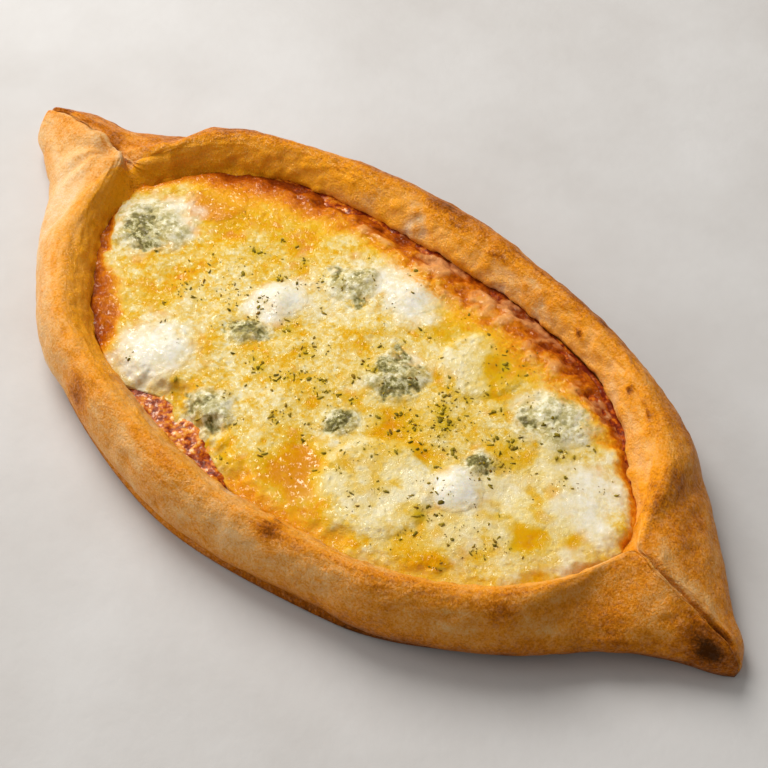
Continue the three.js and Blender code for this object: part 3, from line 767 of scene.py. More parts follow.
# What lies on the cheese: a centre, a half length, a half width and a rise. A slice then has a paleness,
# and a mound a softness.
TOPPING_TURN = math.radians(45)
SLICES = [(43, -26, 18.5, 18, 1.8, 0.16), (35, 28.5, 14, 13, 1.4, 0.12), (-73, 18, 11, 9.5, 0.4, -0.3)]
WHITE_MOUNDS = [(-40, -36.5, 12, 10.5, 2.0, 1), (-27.5, 4, 9, 7, 1.8, 1), (60, -10.5, 8.8, 8.4, 3.2, 0.85),
                (0, 34.5, 11, 9, 1.4, 1)]
BLUE_LUMPS = [(-79, -3.5, 13.5, 13, 3), (-16, 24.5, 9.5, 8, 2.6), (-25.5, -11.5, 8.5, 5.5, 2.2),
              (19, 7, 10.5, 10.5, 3.2), (-12, -40.5, 10, 8.5, 2.6), (19, -16, 6, 5.5, 2.2),
              (59, 1.5, 6.5, 5, 2.2), (64.5, 28.5, 14, 11, 2.6)]
# Spots of each kind of melt: a centre, a radius and a strength.
OIL_POOLS = [(24, -36, 8, 1.0), (17, -31, 6, 0.8), (31, -41, 6, 0.9), (22, -45, 7, 0.7), (10, -44, 7, 0.55),
             (37, -45, 6, 0.5), (40, 33, 6, 1.0), (42, 25, 5, 0.9), (44, 37, 5, 0.7), (37, 39, 4, 0.6),
             (18, 30, 4, 0.8), (23, 33, 4, 0.6), (14, 37, 5, 0.5), (24, 26, 4, 0.5), (85, -8, 4.5, 1.1),
             (87, -12, 3, 0.7), (47, -8, 4, 0.65), (42, -5, 3, 0.5), (30, -6, 3, 0.9), (36, -2, 5, 0.45),
             (48, -22, 1.8, 0.9), (-72, 19, 7, 1.1), (-68, 22, 5, 0.6), (-57, 10, 4.5, 0.7),
             (-60, 6, 4, 0.4), (-58, -14, 4.5, 0.55), (-57, -21, 5, 0.5), (-38, -5, 3, 0.6),
             (-57, -36, 4, 0.7), (-53, -39, 3, 0.6), (-52, 24, 4, 0.55), (-37, 25, 3, 0.5),
             (-28, 26, 4, 0.55), (-45, 33, 8, 0.4), (-34, 34, 6, 0.35), (-6, -16, 5, 0.4), (3, -30, 5, 0.4),
             (4, 1, 4, 0.4), (10, 24, 3, 0.45), (61, -24, 3, 0.7), (58, -33, 3.5, 0.6), (53, -40, 3, 0.5),
             (66, -17, 3, 0.6), (53, 18, 3, 0.5), (97, 5, 3, 0.5)]
WHITE_POOLS = [(-42, -33, 9, 1.1), (-38, -44, 8, 1.0), (-45, -42, 6, 0.7), (-32, -36, 7, 0.8),
               (-29, 4, 7, 1.1), (-25, 8, 6, 0.6), (-31, -1, 5, 0.8), (-24, 0, 5, 0.9), (60, -10, 8, 1.3),
               (0, 35, 9, 1.0), (-6, 41, 6, 0.8), (6, 30, 7, 0.7), (-8, 32, 6, 0.6), (90, 10, 8, 0.9),
               (84, 18, 7, 0.6), (93, 20, 6, 0.6), (80, 8, 5, 0.3), (100, 8, 5, 0.8), (98, -6, 6, 0.6),
               (87, 28, 6, 0.4), (-76, 5, 7, 0.7), (-69, 0, 6, 0.6), (-80, -2, 8, 0.4), (-89, -6, 6, 0.7),
               (-87, 4, 5, 0.55), (-82, 9, 5, 0.5), (-78, -14, 8, 0.35), (-92, 2, 4, 0.3),
               (-18, 26, 8, 0.7), (18, 14, 6, 0.5), (14, 0, 5, 0.6), (-10, -40, 9, 0.55),
               (60, 32, 9, 0.65), (69, 32, 7, 0.6), (56, 25, 6, 0.45), (70, 22, 7, 0.45), (72, 0, 5, 0.55),
               (54, 6, 4, 0.4), (20, -24, 4, 0.4), (-14, 14, 9, 0.4), (29, 29, 6, 0.4), (28, 19, 5, 0.4),
               (76, -22, 10, 0.35), (44, -34, 8, 0.2), (-46, -15, 6, 0.25)]
MOULD_SPOTS = [(-80, -1, 3, 0.6), (-84, -4, 4.2, 0.8), (-83, -9, 3.6, 0.8), (-78, -9, 4, 0.9),
               (-74, -12, 3, 0.9), (-75, -5, 2.6, 0.6), (-86, 1, 3, 0.5), (-71, -8, 3, 0.5),
               (-23, 25, 3, 0.8), (-16, 28, 3, 0.8), (-21, 21, 2.6, 0.7), (-9, 20, 3.4, 0.9),
               (-28, -11, 3.6, 0.7), (-23, -10, 3.6, 0.6), (-30, -15, 3, 0.7), (-19, -11, 3, 0.5),
               (13, 17, 2.6, 0.9), (17, 13, 3.4, 0.8), (14, 7, 3, 0.9), (21, 3, 3.4, 1.0),
               (25, 7, 3.2, 1.0), (23, 13, 3.4, 0.6), (22, -1, 3, 0.6), (18, 8, 3.6, 0.5),
               (-20, -40, 3, 0.6), (-14, -43, 3.4, 0.8), (-8, -43, 3, 0.8), (-13, -37, 3, 0.6),
               (-3, -40, 3, 0.55), (19, -14, 3.4, 0.9), (20, -19, 3, 1.0), (60, 2, 3.2, 1.0),
               (56, 0, 2.8, 0.8), (74, -7, 2.4, 0.6), (57, 22, 3, 0.8), (61, 21, 2.8, 0.7),
               (65, 28, 3, 0.7), (62, 33, 3, 0.4), (67, 18, 2.8, 0.5), (73, 20, 2.4, 0.6),
               (55, 31, 2, 0.7), (71, 29, 2.6, 0.4)]
GOLD_AREAS = [(-45, 28, 16, 0.16), (-57, -15, 12, 0.14), (-5, -12, 14, 0.06), (22, -36, 15, 0.15),
              (40, 30, 12, 0.15), (35, -3, 10, 0.15), (-70, 24, 14, 0.2), (-73, 18, 8, 0.3),
              (80, -15, 16, -0.08), (-45, -18, 9, -0.1), (-14, -30, 12, -0.06), (43, -26, 14, -0.04),
              (85, 12, 16, -0.1), (70, -8, 10, -0.1), (66, -37, 8, 0.25), (80, -24, 8, 0.2),
              (93, -11, 6, 0.2)]
SMOOTH_AREAS = [(43, -26, 20, 0.7), (36, 28, 14, 0.7), (72, -16, 18, 0.7), (72, 12, 16, 0.5),
                (30, -2, 10, 0.4), (-72, 20, 11, 0.75), (95, 0, 14, 0.6), (24, -36, 10, 0.6),
                (-45, 34, 10, 0.4)]
SMOOTHEST = 0.75

# Where the herbs lie, because their oil stains the cheese: clusters with a centre, a spread and a weight.
FLAKES = 1000
FLAKE_SEED = 17
FLAKE_CLUSTERS = [(40, 8, 4.0, 10), (34, -3, 3, 3), (60, 1, 4, 4), (20, 0, 34, 30), (48, 12, 24, 16),
                  (60, -20, 22, 18), (-30, 10, 26, 16), (72, 12, 16, 10), (0, -18, 24, 18),
                  (-48, -8, 16, 8), (38, 33, 7, 4)]
CLUSTER_SPREAD = (0.7, 0.6)
FLAKE_TRIES = 3 * FLAKES
CLUMP_STEP = 3
CLUMP_SPREAD = 1.3
FLAKE_MARGINS = (4, 8)
LEAST_FLAKE = 0.18
FLAKE_RANGE = 0.95
STAIN_RADIUS = 0.9
STAIN_STRENGTH = 0.6
STAIN_SHARE = 2
BROAD_STAINS = [(40.5, 29, 7, 0.35), (19, 29.5, 5, 0.3), (85, -11, 5, 0.3), (74.5, 18.5, 5, 0.5)]
draw = np.random.default_rng(FLAKE_SEED)
centres = np.array(FLAKE_CLUSTERS, float)
cluster = centres[draw.choice(len(centres), FLAKES, p=centres[:, 3] / centres[:, 3].sum())]
clump_x = cluster[:, 0] + cluster[:, 2] * draw.normal(0, CLUSTER_SPREAD[0], FLAKES)
clump_y = cluster[:, 1] + cluster[:, 2] * draw.normal(0, CLUSTER_SPREAD[1], FLAKES)
clump = draw.integers(0, FLAKES, FLAKE_TRIES) // CLUMP_STEP * CLUMP_STEP
herb_x = clump_x[clump] + draw.normal(0, CLUMP_SPREAD, FLAKE_TRIES)
herb_y = clump_y[clump] + draw.normal(0, CLUMP_SPREAD, FLAKE_TRIES)
clear_of_near = herb_y - along(NEAR_LIP, herb_x) > FLAKE_MARGINS[0]
clear_of_far = along(FAR_LIP, herb_x) - herb_y > FLAKE_MARGINS[1]
herb_x = herb_x[clear_of_near & clear_of_far][:FLAKES]
herb_y = herb_y[clear_of_near & clear_of_far][:FLAKES]
herb_size = LEAST_FLAKE + FLAKE_RANGE * draw.uniform(0, 1, FLAKES) ** 3
herb_stains = [(a, b, STAIN_RADIUS + STAIN_RADIUS * size, STAIN_STRENGTH * size)
               for a, b, size in zip(herb_x, herb_y, herb_size)][::STAIN_SHARE] + BROAD_STAINS

# How far the browning reaches in from the rims, how strong it is at the near one, and where it bubbles.
FAR_TOAST = [[-97, 15], [-85, 20], [-65, 25], [-45, 20], [-30, 18], [10, 25], [40, 25], [60, 18], [75, 11],
             [107, 3]]
NEAR_TOAST = [[-97, 3], [-89, 5], [-81, 8], [-73, 15], [-62, 17], [-54, 11], [-45, 5], [-25, 4], [8, 8],
              [20, 7], [40, 5], [60, 4.5], [106, 3]]
NEAR_BROWNING = [[-97, 0.75], [-70, 0.8], [-58, 0.8], [-49, 0.2], [-35, 0], [2, 0.05], [14, 0.4],
                 [40, 0.35], [60, 0.15], [106, 0.15]]
FAR_BUBBLING = [[-60, 0], [-20, 1], [60, 1], [90, 0.6], [107, 0.6]]
NEAR_BUBBLING = 0.5
FAR_BROWNING = 0.98
FAR_TOAST_START = -2.5
NEAR_TOAST_FADE = (0.25, 1)
# Painted shade: a dark line along the near rim's edge, where the lip shades the cheese.
EDGE_PAINTED_SHADE = 0.3
EDGE_FADE = (-2, 2)
TOASTED = (0.25, 0.7)
TOAST_BUBBLE = 5.0
BLOWN_PATCHES = (1, 8, 79, 2)
BLOWN_SHOWS = (-0.5, 0.35)
FLAT_BUBBLES = 0.55
# Bubble tops pale and clefts brown, partly as painted highlight and painted shade.
BUBBLE_PALING = 0.5
BUBBLE_MIDDLE = 0.55
CHEESE_RAGS = [(2.2, 6, 41), (1.0, 2.4, 42, 2)]
MELT_WANDER_X = (1.7, 4.5, 51, 3)
MELT_WANDER_Y = (1.7, 4.5, 55, 3)
MELT_PATCHES = (1, 8, 57, 3)
TOPPING_RAGS = (0.10, 5, 45, 2)
POOL_PATCHES = 0.3
POOL_EDGE = (0.0, 1.5)
WHITE_STRENGTH = 0.9
WHITE_PATCHES = (0.3, 4, 61, 3)
WHITE_EDGE = (0.05, 1.3)
OIL_OVER_WHITE = 0.7
MOUND_RAGS = 1.8
MOUND_MELT = (0.55, 1.2)
LUMP_RAGS = 2.2
LUMP_MELT = (0.4, 1.3)
MOULD_WANDER = 0.6
MOULD_BREAKS = (0.5, 1.7, 65, 2)
MOULD_EDGE = (0.05, 1.0)
GOLD_MEAN = 0.30
GOLD_PATCHES = 0.10
GOLD_STREAKS = 0.18
GOLD_POOLS = 0.5
STREAK_GRAIN = (1, 4.2, 67, 3)
STREAK_PATCHES = 0.5
STREAK_EDGE = (0.0, 0.75)
SLICE_RAGS = 0.3
SLICE_MELT = (0.85, 1.02)
SLICE_RING = (1.06, 0.07)
RING_SHOWS = (-0.3, 0.3)
RING_GOLD = 0.14
WHITE_OVER_STAIN = 0.75


def topping_share(topping, x, y):
    """How far a place lies from a topping's middle, as a share of the way to its edge."""
    middle_x, middle_y, length, width = topping[:4]
    run = (x - middle_x) * math.cos(TOPPING_TURN) + (y - middle_y) * math.sin(TOPPING_TURN)
    side = (y - middle_y) * math.cos(TOPPING_TURN) - (x - middle_x) * math.sin(TOPPING_TURN)
    return np.hypot(run / length, side / width)


def edge_reaches(x, y):
    """How far a place lies inside the cheese's uneven near and far edges."""
    rags = grains(flat_points(x, y), CHEESE_RAGS)
    near = np.minimum(y - along(NEAR_LIP, x) - along(NEAR_MARGIN, x), x - CHEESE_ENDS[0])
    far = np.minimum(along(FAR_LIP, x) - along(FAR_MARGIN, x) - y, CHEESE_ENDS[1] - x)
    return near + rags, far + rags


def toasting(x, y):
    """How browned the filling is at a place, with painted shade at its very edges under the lips."""
    near_reach, far_reach = edge_reaches(x, y)
    far_toast = FAR_BROWNING - FAR_BROWNING * smoothstep(far_reach, FAR_TOAST_START, along(FAR_TOAST, x))
    near_toast = 1 - smoothstep(near_reach / along(NEAR_TOAST, x), *NEAR_TOAST_FADE)
    # Painted shade along the near edge.
    near_toast = near_toast + EDGE_PAINTED_SHADE * (1 - smoothstep(near_reach, *EDGE_FADE))
    return np.maximum(far_toast, near_toast * along(NEAR_BROWNING, x))


def melt_masks(x, y):
    """Shares of gold, oil, white or blue cheese, toasting and painted rim shade, mould and herb stain on
    the filling.
    """
    place = flat_points(x, y)
    wander_x = grain(place, *MELT_WANDER_X)
    wander_y = grain(place, *MELT_WANDER_Y)
    patchy = grain(place, *MELT_PATCHES)
    uneven = grain(place, *TOPPING_RAGS)
    pool = spread(OIL_POOLS, x + wander_x, y + wander_y) + POOL_PATCHES * patchy
    pool = smoothstep(pool, *POOL_EDGE)
    white = spread(WHITE_POOLS, x + wander_y, y + wander_x) + grain(place, *WHITE_PATCHES)
    white = WHITE_STRENGTH * smoothstep(white, *WHITE_EDGE)
    for mound in WHITE_MOUNDS:
        share = topping_share(mound, x, y) + MOUND_RAGS * uneven
        white = np.maximum(white, 1 - smoothstep(share, *MOUND_MELT))
    blue = np.zeros(x.shape)
    for lump in BLUE_LUMPS:
        share = topping_share(lump, x, y) + LUMP_RAGS * uneven
        blue = np.maximum(blue, 1 - smoothstep(share, *LUMP_MELT))
    mould = spread(MOULD_SPOTS, x + MOULD_WANDER * wander_x, y + MOULD_WANDER * wander_y)
    mould = smoothstep(mould * (1 + grain(place, *MOULD_BREAKS)), *MOULD_EDGE)
    streak = smoothstep(grain(place, *STREAK_GRAIN) + STREAK_PATCHES * patchy, *STREAK_EDGE)
    gold = GOLD_MEAN + GOLD_PATCHES * patchy + GOLD_STREAKS * streak
    gold = gold + spread(GOLD_AREAS, x, y) + GOLD_POOLS * pool
    for *outline, _, paleness in SLICES:
        share = topping_share(outline, x, y) + SLICE_RAGS * uneven
        ring = bell(share, *SLICE_RING) * smoothstep(patchy, *RING_SHOWS) * (paleness > 0)
        gold = gold + RING_GOLD * ring - paleness * (1 - smoothstep(share, *SLICE_MELT))
    toast_and_edge_shade = toasting(x, y)
    browned = smoothstep(toast_and_edge_shade, *TOASTED)
    plain = 1 - browned
    froth = froth_share(x, y, TOAST_BUBBLE)
    bubbly = browned * np.where(y > 0, along(FAR_BUBBLING, x), NEAR_BUBBLING)
    blown = smoothstep(grain(place, *BLOWN_PATCHES), *BLOWN_SHOWS)
    # On bubbles the toasting pales on the tops and darkens in the clefts, partly painted highlight and
    # shade.
    return {"gold": np.clip(gold, 0, 1),
            "oil": pool * plain * (1 - blue),
            "white": white * plain * (1 - OIL_OVER_WHITE * pool),
            "blue": blue * plain,
            "toast_and_edge_shade": np.clip(toast_and_edge_shade - BUBBLE_PALING * (froth - BUBBLE_MIDDLE) * bubbly, 0, 1),
            "bubble": froth * bubbly * mix(FLAT_BUBBLES, 1, blown),
            "mould": mould * plain,
            "stain": np.minimum(spread(herb_stains, x, y), 1) * (1 - WHITE_OVER_STAIN * white),
            "curd": 1 - np.minimum(spread(SMOOTH_AREAS, x, y), SMOOTHEST)}


# The filling's surface. A rise share is how much of a topping's rise stands out of the cheese; a grain is a
# height, a size, a seed and the level that counts as its middle.
CROWN_REACH = 150
SURFACE_SWELLS = [(0.4, 14, 43), (0.22, 6, 44)]
OIL_DIP = 0.25
SLICE_RISE_SHARE = 0.45
SLICE_EDGE = (0.78, 1.02)
MOUND_RISE_SHARE = 0.75
MOUND_SURFACE_RAGS = 0.6
MOUND_FALL = 2.2
DOME_POWER = 0.7
LUMP_RISE_SHARE = 0.55
LUMP_SURFACE_RAGS = 1.6
LUMP_EDGE = (0.2, 1.05)
BIG_CRAGS = (0.45, 2.9, 46, 0.62)
CRAG_BEND = 4
SMALL_CRAGS = (0.3, 1.4, 47, 0.6)
MOULD_DIP = 0.4
CURD_GRAINS = (0.08, 1.5, 71, 0.6)
CURD_RELIEF = (0.07, 1.3, 73, 2)
PIT_DEPTH = 0.2
PIT_SPACING = 5.2
PIT_SEED = 77
PIT_EDGE = (0.97, 0.995)
CALMING = 0.85
WHITE_CALM = 0.7
BUBBLE_RISE = 1.5
BUBBLE_SETTLING = 0.45
BUBBLE_FOOT = (0, 0.3)
BRIM_ACROSS = (2, 14)
BRIM_MARGINS = (1, 5)
EDGE_SLOPE = (-2.5, 5.5)
SUNK_EDGE = (0.72, 0.9)
SUNK_DEPTH = 0.45


def dome(share):
    """The rise of a round mound: 1 in the middle, falling ever more steeply to its edge."""
    return np.clip(1 - share**2, 0, 1) ** DOME_POWER


def crumb_relief(x, y, height, size, seed, middle):
    """Heights of packed grains, either way of the level that counts as their middle."""
    return height * (crumbs(x, y, size, seed) - middle)


def filling_height(x, y, masks):
    """The surface of the whole filling: melted cheese with slices, mounds and lumps sunk into it."""
    place = flat_points(x, y)
    uneven = grain(place, *TOPPING_RAGS)
    level = CHEESE_LEVEL + CHEESE_CROWN * (1 - (x / CROWN_REACH) ** 2)
    level = level + grains(place, SURFACE_SWELLS) - OIL_DIP * masks["oil"]
    for *outline, rise, _ in SLICES:
        share = topping_share(outline, x, y) + SLICE_RAGS * uneven
        level = level + SLICE_RISE_SHARE * rise * (1 - smoothstep(share, *SLICE_EDGE))
    for *outline, rise, softness in WHITE_MOUNDS:
        share = topping_share(outline, x, y) + MOUND_SURFACE_RAGS * uneven
        mound = mix(dome(share), np.exp(-MOUND_FALL * share**2), softness)
        level = level + MOUND_RISE_SHARE * rise * mound
    crags = crumb_relief(x + CRAG_BEND * uneven, y, *BIG_CRAGS) + crumb_relief(x, y, *SMALL_CRAGS)
    for *outline, rise in BLUE_LUMPS:
        share = topping_share(outline, x, y) + LUMP_SURFACE_RAGS * uneven
        level = level + (LUMP_RISE_SHARE * rise + crags) * (1 - smoothstep(share, *LUMP_EDGE))
    level = level - MOULD_DIP * masks["mould"]
    fine = crumb_relief(x, y, *CURD_GRAINS) + grain(place, *CURD_RELIEF)
    fine = fine - PIT_DEPTH * smoothstep(crumbs(x, y, PIT_SPACING, PIT_SEED), *PIT_EDGE)
    level = level + fine * (1 - CALMING * np.maximum(masks["oil"], WHITE_CALM * masks["white"]))
    bubble = masks["bubble"] - BUBBLE_SETTLING * smoothstep(masks["bubble"], *BUBBLE_FOOT)
    brimming = smoothstep(-y, *BRIM_ACROSS) * (1 - smoothstep(along(NEAR_MARGIN, x), *BRIM_MARGINS))
    edge_level = mix(CHEESE_LOW, CHEESE_BRIM, brimming)
    inward = smoothstep(np.minimum(*edge_reaches(x, y)), *EDGE_SLOPE)
    return mix(edge_level, level, inward) + BUBBLE_RISE * bubble


def sunk(toppings, x, y):
    """How far a layer dips below the toppings that lie in it, so that they cover it."""
    cover = np.zeros(x.shape)
    for topping in toppings:
        cover = np.maximum(cover, 1 - smoothstep(topping_share(topping, x, y), *SUNK_EDGE))
    return SUNK_DEPTH * cover


def values_at(masks, points):
    return {key: with_skirt(mask, points) for key, mask in masks.items()}


x = np.linspace(*CHEESE_ENDS, CHEESE_GRID[0])
near_lip = along(NEAR_LIP, x)
far_lip = along(FAR_LIP, x)
near = np.maximum(near_lip + along(NEAR_MARGIN, x) - CHEESE_OUTREACH, near_lip - CHEESE_OVERLAP)
far = np.minimum(far_lip - along(FAR_MARGIN, x) + CHEESE_OUTREACH, far_lip + CHEESE_OVERLAP)
x, y = spread_layer(near, far, x, CHEESE_GRID[1])
masks = melt_masks(x, y)
height = filling_height(x, y, masks) - sunk(SLICES + WHITE_MOUNDS + BLUE_LUMPS, x, y)
points, faces = shut_layer(np.stack([x, y, height], -1), CHEESE_UNDERSIDE)

GOLD_TONES = [(0.0, (0.80, 0.725, 0.48, 1)), (0.2, (0.75, 0.60, 0.245, 1)), (0.4, (0.695, 0.455, 0.064, 1)),
              (0.6, (0.68, 0.36, 0.004, 1)), (0.8, (0.68, 0.305, 0.001, 1)), (1.0, (0.62, 0.23, 0.001, 1))]
WHITE_TONES = [(0.34, (0.72, 0.66, 0.45, 1)), (0.50, (0.78, 0.74, 0.60, 1)), (0.66, (0.82, 0.79, 0.70, 1))]
BLUE_TONES = [(0.38, (0.36, 0.315, 0.12, 1)), (0.49, (0.54, 0.485, 0.245, 1)),
              (0.60, (0.76, 0.72, 0.52, 1))]
MOULD_TONES = [(0.38, (0.065, 0.052, 0.013, 1)), (0.47, (0.16, 0.138, 0.038, 1)),
               (0.55, (0.32, 0.28, 0.095, 1)), (0.64, (0.62, 0.57, 0.33, 1))]
TOAST_TONES = [(0.18, (0.82, 0.49, 0.030, 1)), (0.38, (0.76, 0.33, 0.010, 1)),
               (0.60, (0.62, 0.18, 0.004, 1)), (0.82, (0.38, 0.075, 0.003, 1)),
               (1.0, (0.20, 0.03, 0.003, 1))]
# Pink on the bubble tops: partly the froth's own colour, partly painted highlight.
BUBBLE_PINK_AND_HIGHLIGHT = (0.72, 0.38, 0.15, 1)
HERB_STAIN = (0.58, 0.38, 0.010, 1)
MELT_SHADER = [("Specular Tint", (1, 0.94, 0.8, 1)), ("Subsurface Radius", (1.0, 0.75, 0.45)),
               ("Subsurface Scale", 1.6 * MM)]
MELT_FINE = (1000.0, 4.0, 0.62)
MELT_MIDDLING = (380.0, 4.0, 0.6)
MELT_BROAD = (260.0, 4.0, 0.6)
MELT_GLINTS = (800.0, 3.0, 0.6)
MELT_GRIT = (1900.0, 3.0, 0.6)
GOLD_FINE_SWING = 0.9
GOLD_MIDDLING_SWING = 1.1
BLUE_SWING = 1.0
CRUMB_SWING = 0.5
MOULD_SWING = 1.6
TOAST_SWING = 0.5
BLUE_COVER = (0.25, 0.9, 0.0, 0.85)
MOULD_COVER = (0.41, 0.95)
TOAST_COVER = (0.1, 0.45)
BUBBLE_COVER = (0.5, 0.85, 0.0, 0.56)
MELT_GLOSS = (0.56, 0.66, 0.04, 1.0)
MELT_RELIEF = 0.5
MELT_RELIEF_LOSS = 0.4
MELT_LEAST_RELIEF = 0.12
MELT_RELIEF_HEIGHT = 0.45 * MM


def melted_finish(name, roughness, softness):
    """A moist, grainy cheese material that the masks turn golden, oily, white, blue, toasted or mouldy."""
    finish, tree, shader = new_finish(name, MELT_SHADER)
    shader.inputs["Roughness"].default_value = roughness
    shader.inputs["Subsurface Weight"].default_value = softness
    fine = speckle(tree, *MELT_FINE)
    middling = speckle(tree, *MELT_MIDDLING)
    broad = speckle(tree, *MELT_BROAD)
    curd = sums(tree, "ADD", swing(tree, fine, GOLD_FINE_SWING), swing(tree, middling, GOLD_MIDDLING_SWING))
    curd = sums(tree, "MULTIPLY", curd, attribute(tree, "curd"))
    gold = sums(tree, "SUBTRACT", attribute(tree, "gold"), curd)
    colour = ramp(tree, gold, GOLD_TONES)
    colour = blend(tree, attribute(tree, "white"), colour, ramp(tree, middling, WHITE_TONES))
    crumb = sums(tree, "ADD", middling, swing(tree, fine, CRUMB_SWING))
    blued = sums(tree, "ADD", attribute(tree, "blue"), swing(tree, broad, BLUE_SWING))
    colour = blend(tree, remap(tree, blued, *BLUE_COVER), colour, ramp(tree, crumb, BLUE_TONES))
    colour = blend(tree, attribute(tree, "stain"), colour, HERB_STAIN)
    veined = sums(tree, "ADD", attribute(tree, "mould"), swing(tree, middling, MOULD_SWING))
    colour = blend(tree, remap(tree, veined, *MOULD_COVER), colour, ramp(tree, crumb, MOULD_TONES))
    # Toasting, with painted shade right at the rims.
    browned = sums(tree, "ADD", attribute(tree, "toast_and_edge_shade"), swing(tree, fine, TOAST_SWING))
    colour = blend(tree, remap(tree, browned, *TOAST_COVER), colour, ramp(tree, browned, TOAST_TONES))
    # Painted highlight, with the froth's own pink, on the bubble tops.
    bubble_top_highlight = remap(tree, attribute(tree, "bubble"), *BUBBLE_COVER)
    colour = blend(tree, bubble_top_highlight, colour, BUBBLE_PINK_AND_HIGHLIGHT)
    tree.links.new(colour, shader.inputs["Base Color"])
    wet = remap(tree, speckle(tree, *MELT_GLINTS), *MELT_GLOSS)
    tree.links.new(wet, shader.inputs["Specular IOR Level"])
    calm = sums(tree, "MULTIPLY", attribute(tree, "white"), WHITE_CALM)
    calm = sums(tree, "MULTIPLY", sums(tree, "ADD", attribute(tree, "oil"), calm), MELT_RELIEF_LOSS)
    strength = sums(tree, "MAXIMUM", sums(tree, "SUBTRACT", MELT_RELIEF, calm), MELT_LEAST_RELIEF)
    bump(tree, shader, sums(tree, "ADD", fine, speckle(tree, *MELT_GRIT)), strength, MELT_RELIEF_HEIGHT)
    return finish


melted = add_piece("melted_yellow_cheese", points, faces, values_at(masks, points),
                   melted_finish("melted_cheese_finish", 0.13, 0.1))
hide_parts("melted_cheese")

# The three slices: rounds of a firm yellow cheese, laid on the grated cheese and softened by the heat. They
# keep a rounded edge that stands a little above the rest, and oil has gathered on them and round them.
SLICE_GRID = (60, 200)
TOPPING_CORE = 0.0004
TOPPING_OVERHANG = 1.08
TOPPING_WALL = 1.2
TOPPING_LIFT = 0.08
TOPPING_FEATHER = 0.18
FEATHER_START = 0.9


def round_layer(topping, rings, sectors):
    """Plan points over a round topping, in rings from its middle to a little past its edge."""
    middle_x, middle_y, length, width = topping[:4]
    share = np.sqrt(np.linspace(TOPPING_CORE, 1, rings))[:, None] * TOPPING_OVERHANG
    turn = np.linspace(0, 2 * math.pi, sectors, endpoint=False)[None, :]
    run = length * share * np.cos(turn)
    side = width * share * np.sin(turn)
    x = middle_x + run * math.cos(TOPPING_TURN) - side * math.sin(TOPPING_TURN)
    y = middle_y + run * math.sin(TOPPING_TURN) + side * math.cos(TOPPING_TURN)
    return x, y


def shut_round(top):
    """Points and faces of a round topping: its top, a wall below its edge and a flat underside."""
    rings, sectors = top.shape[:2]
    index = np.arange(rings * sectors).reshape(rings, sectors)
    onward = np.roll(index, -1, 1)
    quads = np.stack([index[:-1], index[1:], onward[1:], onward[:-1]], -1).reshape(-1, 4)
    lower = np.arange(sectors) + rings * sectors
    walls = np.stack([index[-1], lower, np.roll(lower, -1), onward[-1]], -1)
    skirt = top[-1].copy()
    skirt[:, 2] = skirt[:, 2].min() - TOPPING_WALL
    points = np.concatenate([top.reshape(-1, 3), skirt])
    return points, quads.tolist() + walls.tolist() + [index[0].tolist(), lower[::-1].tolist()]


def add_toppings(toppings, above, grid, names, node, finish):
    """Toppings that rise out of the filling's surface and feather into it at the edge."""
    for number, topping in enumerate(toppings, 1):
        x, y = round_layer(topping, *grid)
        masks = melt_masks(x, y)
        edge = smoothstep(topping_share(topping, x, y), FEATHER_START, TOPPING_OVERHANG)
        feather = TOPPING_LIFT - TOPPING_FEATHER * edge
        height = filling_height(x, y, masks) + feather - sunk(above, x, y)
        points, faces = shut_round(np.stack([x, y, height], -1))
        piece = add_piece(f"{names}_{number}", points, faces, values_at(masks, points), finish)
        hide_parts(f"{node}_{number}")


add_toppings(SLICES, WHITE_MOUNDS + BLUE_LUMPS, SLICE_GRID, "cheese_slice_round", "cheese_slice",
             melted_finish("cheese_slice_finish", 0.13, 0.1))

# The white cheese: four spoonfuls of fresh curd cheese, set on the rest before baking. They have slumped to
# soft, finely grained mounds that run out into the yellow cheese.
MOUND_GRID = (52, 150)
add_toppings(WHITE_MOUNDS, BLUE_LUMPS, MOUND_GRID, "white_cheese_mound", "white_cheese",
             melted_finish("white_cheese_finish", 0.2, 0.25))

# The blue cheese: eight crumbled lumps, pale and veined with grey-green mould. Baking has slumped them into
# craggy heaps whose mould shows darkest in the clefts.
add_toppings(BLUE_LUMPS, [], MOUND_GRID, "blue_cheese_lump", "blue_cheese",
             melted_finish("blue_cheese_finish", 0.15, 0.15))

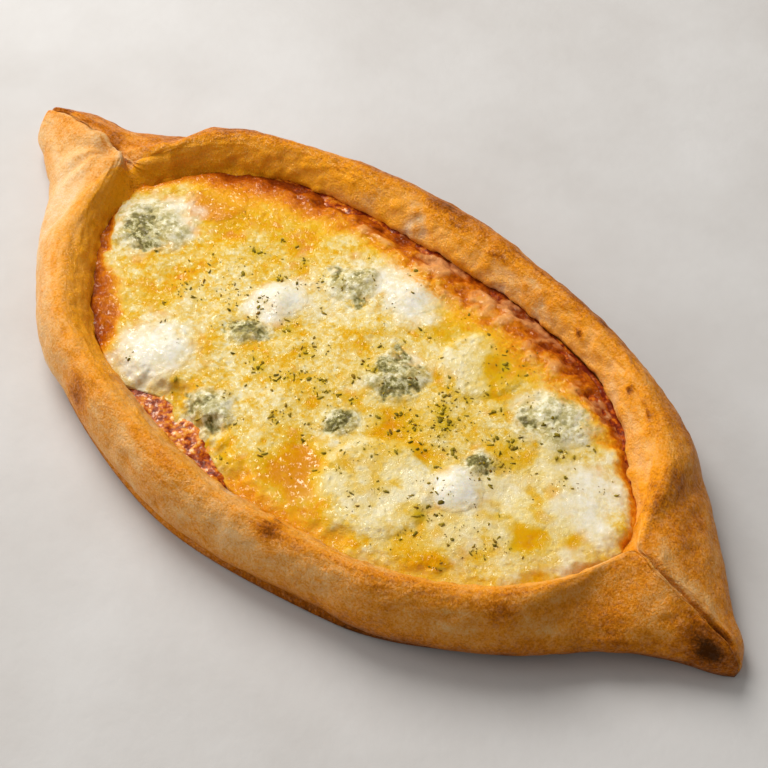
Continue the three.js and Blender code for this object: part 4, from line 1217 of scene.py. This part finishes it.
# The herbs: dried oregano or thyme, rubbed between the fingers and strewn over the filling. Each flake is a
# scrap of leaf, from a crumb to nearly three millimetres long, curled by drying and stuck to the cheese.
FLAKE_SIDES = 7
FLAKE_STEP = 0.7
FLAKE_STEEPEST = 0.8
FLAKE_WIDTHS = (0.22, 0.7)
FLAKE_REACHES = (0.5, 1.2)
FLAKE_CURLS = (-0.2, 0.35)
FLAKE_CURL_LEVEL = 0.3
FLAKE_TILT = 0.15
FLAKE_LIFT = 0.1
FLAKE_FACES = (0.14, -0.1)
SMALL_FLAKE = 0.5
SMALL_FLAKE_TONE = 0.25
HERB_TONES = [(0.0, (0.12, 0.085, 0.007, 1)), (0.35, (0.24, 0.175, 0.011, 1)), (0.7, (0.36, 0.25, 0.02, 1)),
              (1.0, (0.20, 0.10, 0.008, 1))]
heights = [filling_height(a, b, melt_masks(a, b)) for a, b in (
    (herb_x, herb_y), (herb_x + FLAKE_STEP, herb_y), (herb_x - FLAKE_STEP, herb_y),
    (herb_x, herb_y + FLAKE_STEP), (herb_x, herb_y - FLAKE_STEP))]
slope_x = np.clip((heights[1] - heights[2]) / (2 * FLAKE_STEP), -FLAKE_STEEPEST, FLAKE_STEEPEST)
slope_y = np.clip((heights[3] - heights[4]) / (2 * FLAKE_STEP), -FLAKE_STEEPEST, FLAKE_STEEPEST)
draw = np.random.default_rng(FLAKE_SEED + 1)
points, faces, tones = [], [], []
for x, y, z, rise_x, rise_y, length in zip(herb_x, herb_y, heights[0], slope_x, slope_y, herb_size):
    width = length * draw.uniform(*FLAKE_WIDTHS)
    tone = draw.uniform(SMALL_FLAKE_TONE * (length < SMALL_FLAKE), 1)
    turn = draw.uniform(0, 2 * math.pi)
    curl = draw.uniform(*FLAKE_CURLS)
    tilt_x, tilt_y = draw.normal(0, FLAKE_TILT, 2)
    outline = [(0, 0)]
    for k in range(FLAKE_SIDES):
        angle = 2 * math.pi * k / FLAKE_SIDES
        reach = draw.uniform(*FLAKE_REACHES)
        outline.append((length * reach * math.cos(angle), width * reach * math.sin(angle)))
    top = len(points)
    low = top + len(outline)
    for face_height in FLAKE_FACES:
        for u, v in outline:
            run = u * math.cos(turn) - v * math.sin(turn)
            side = u * math.sin(turn) + v * math.cos(turn)
            lift = curl * (u * u - FLAKE_CURL_LEVEL * length * length) + tilt_x * run + tilt_y * side
            flake_z = z + FLAKE_LIFT + face_height + lift + rise_x * run + rise_y * side
            points.append((x + run, y + side, flake_z))
            tones.append(tone)
    for k in range(FLAKE_SIDES):
        here = 1 + k
        there = 1 + (k + 1) % FLAKE_SIDES
        faces += [(top, top + here, top + there), (low, low + there, low + here),
                  (top + here, low + here, low + there, top + there)]
herb_finish, tree, shader = new_finish("herb_finish", [("Roughness", 0.5), ("Specular IOR Level", 0.05)])
tree.links.new(ramp(tree, attribute(tree, "tone"), HERB_TONES), shader.inputs["Base Color"])
add_piece("dried_herb_flakes", np.array(points), faces, {"tone": np.array(tones)}, herb_finish)
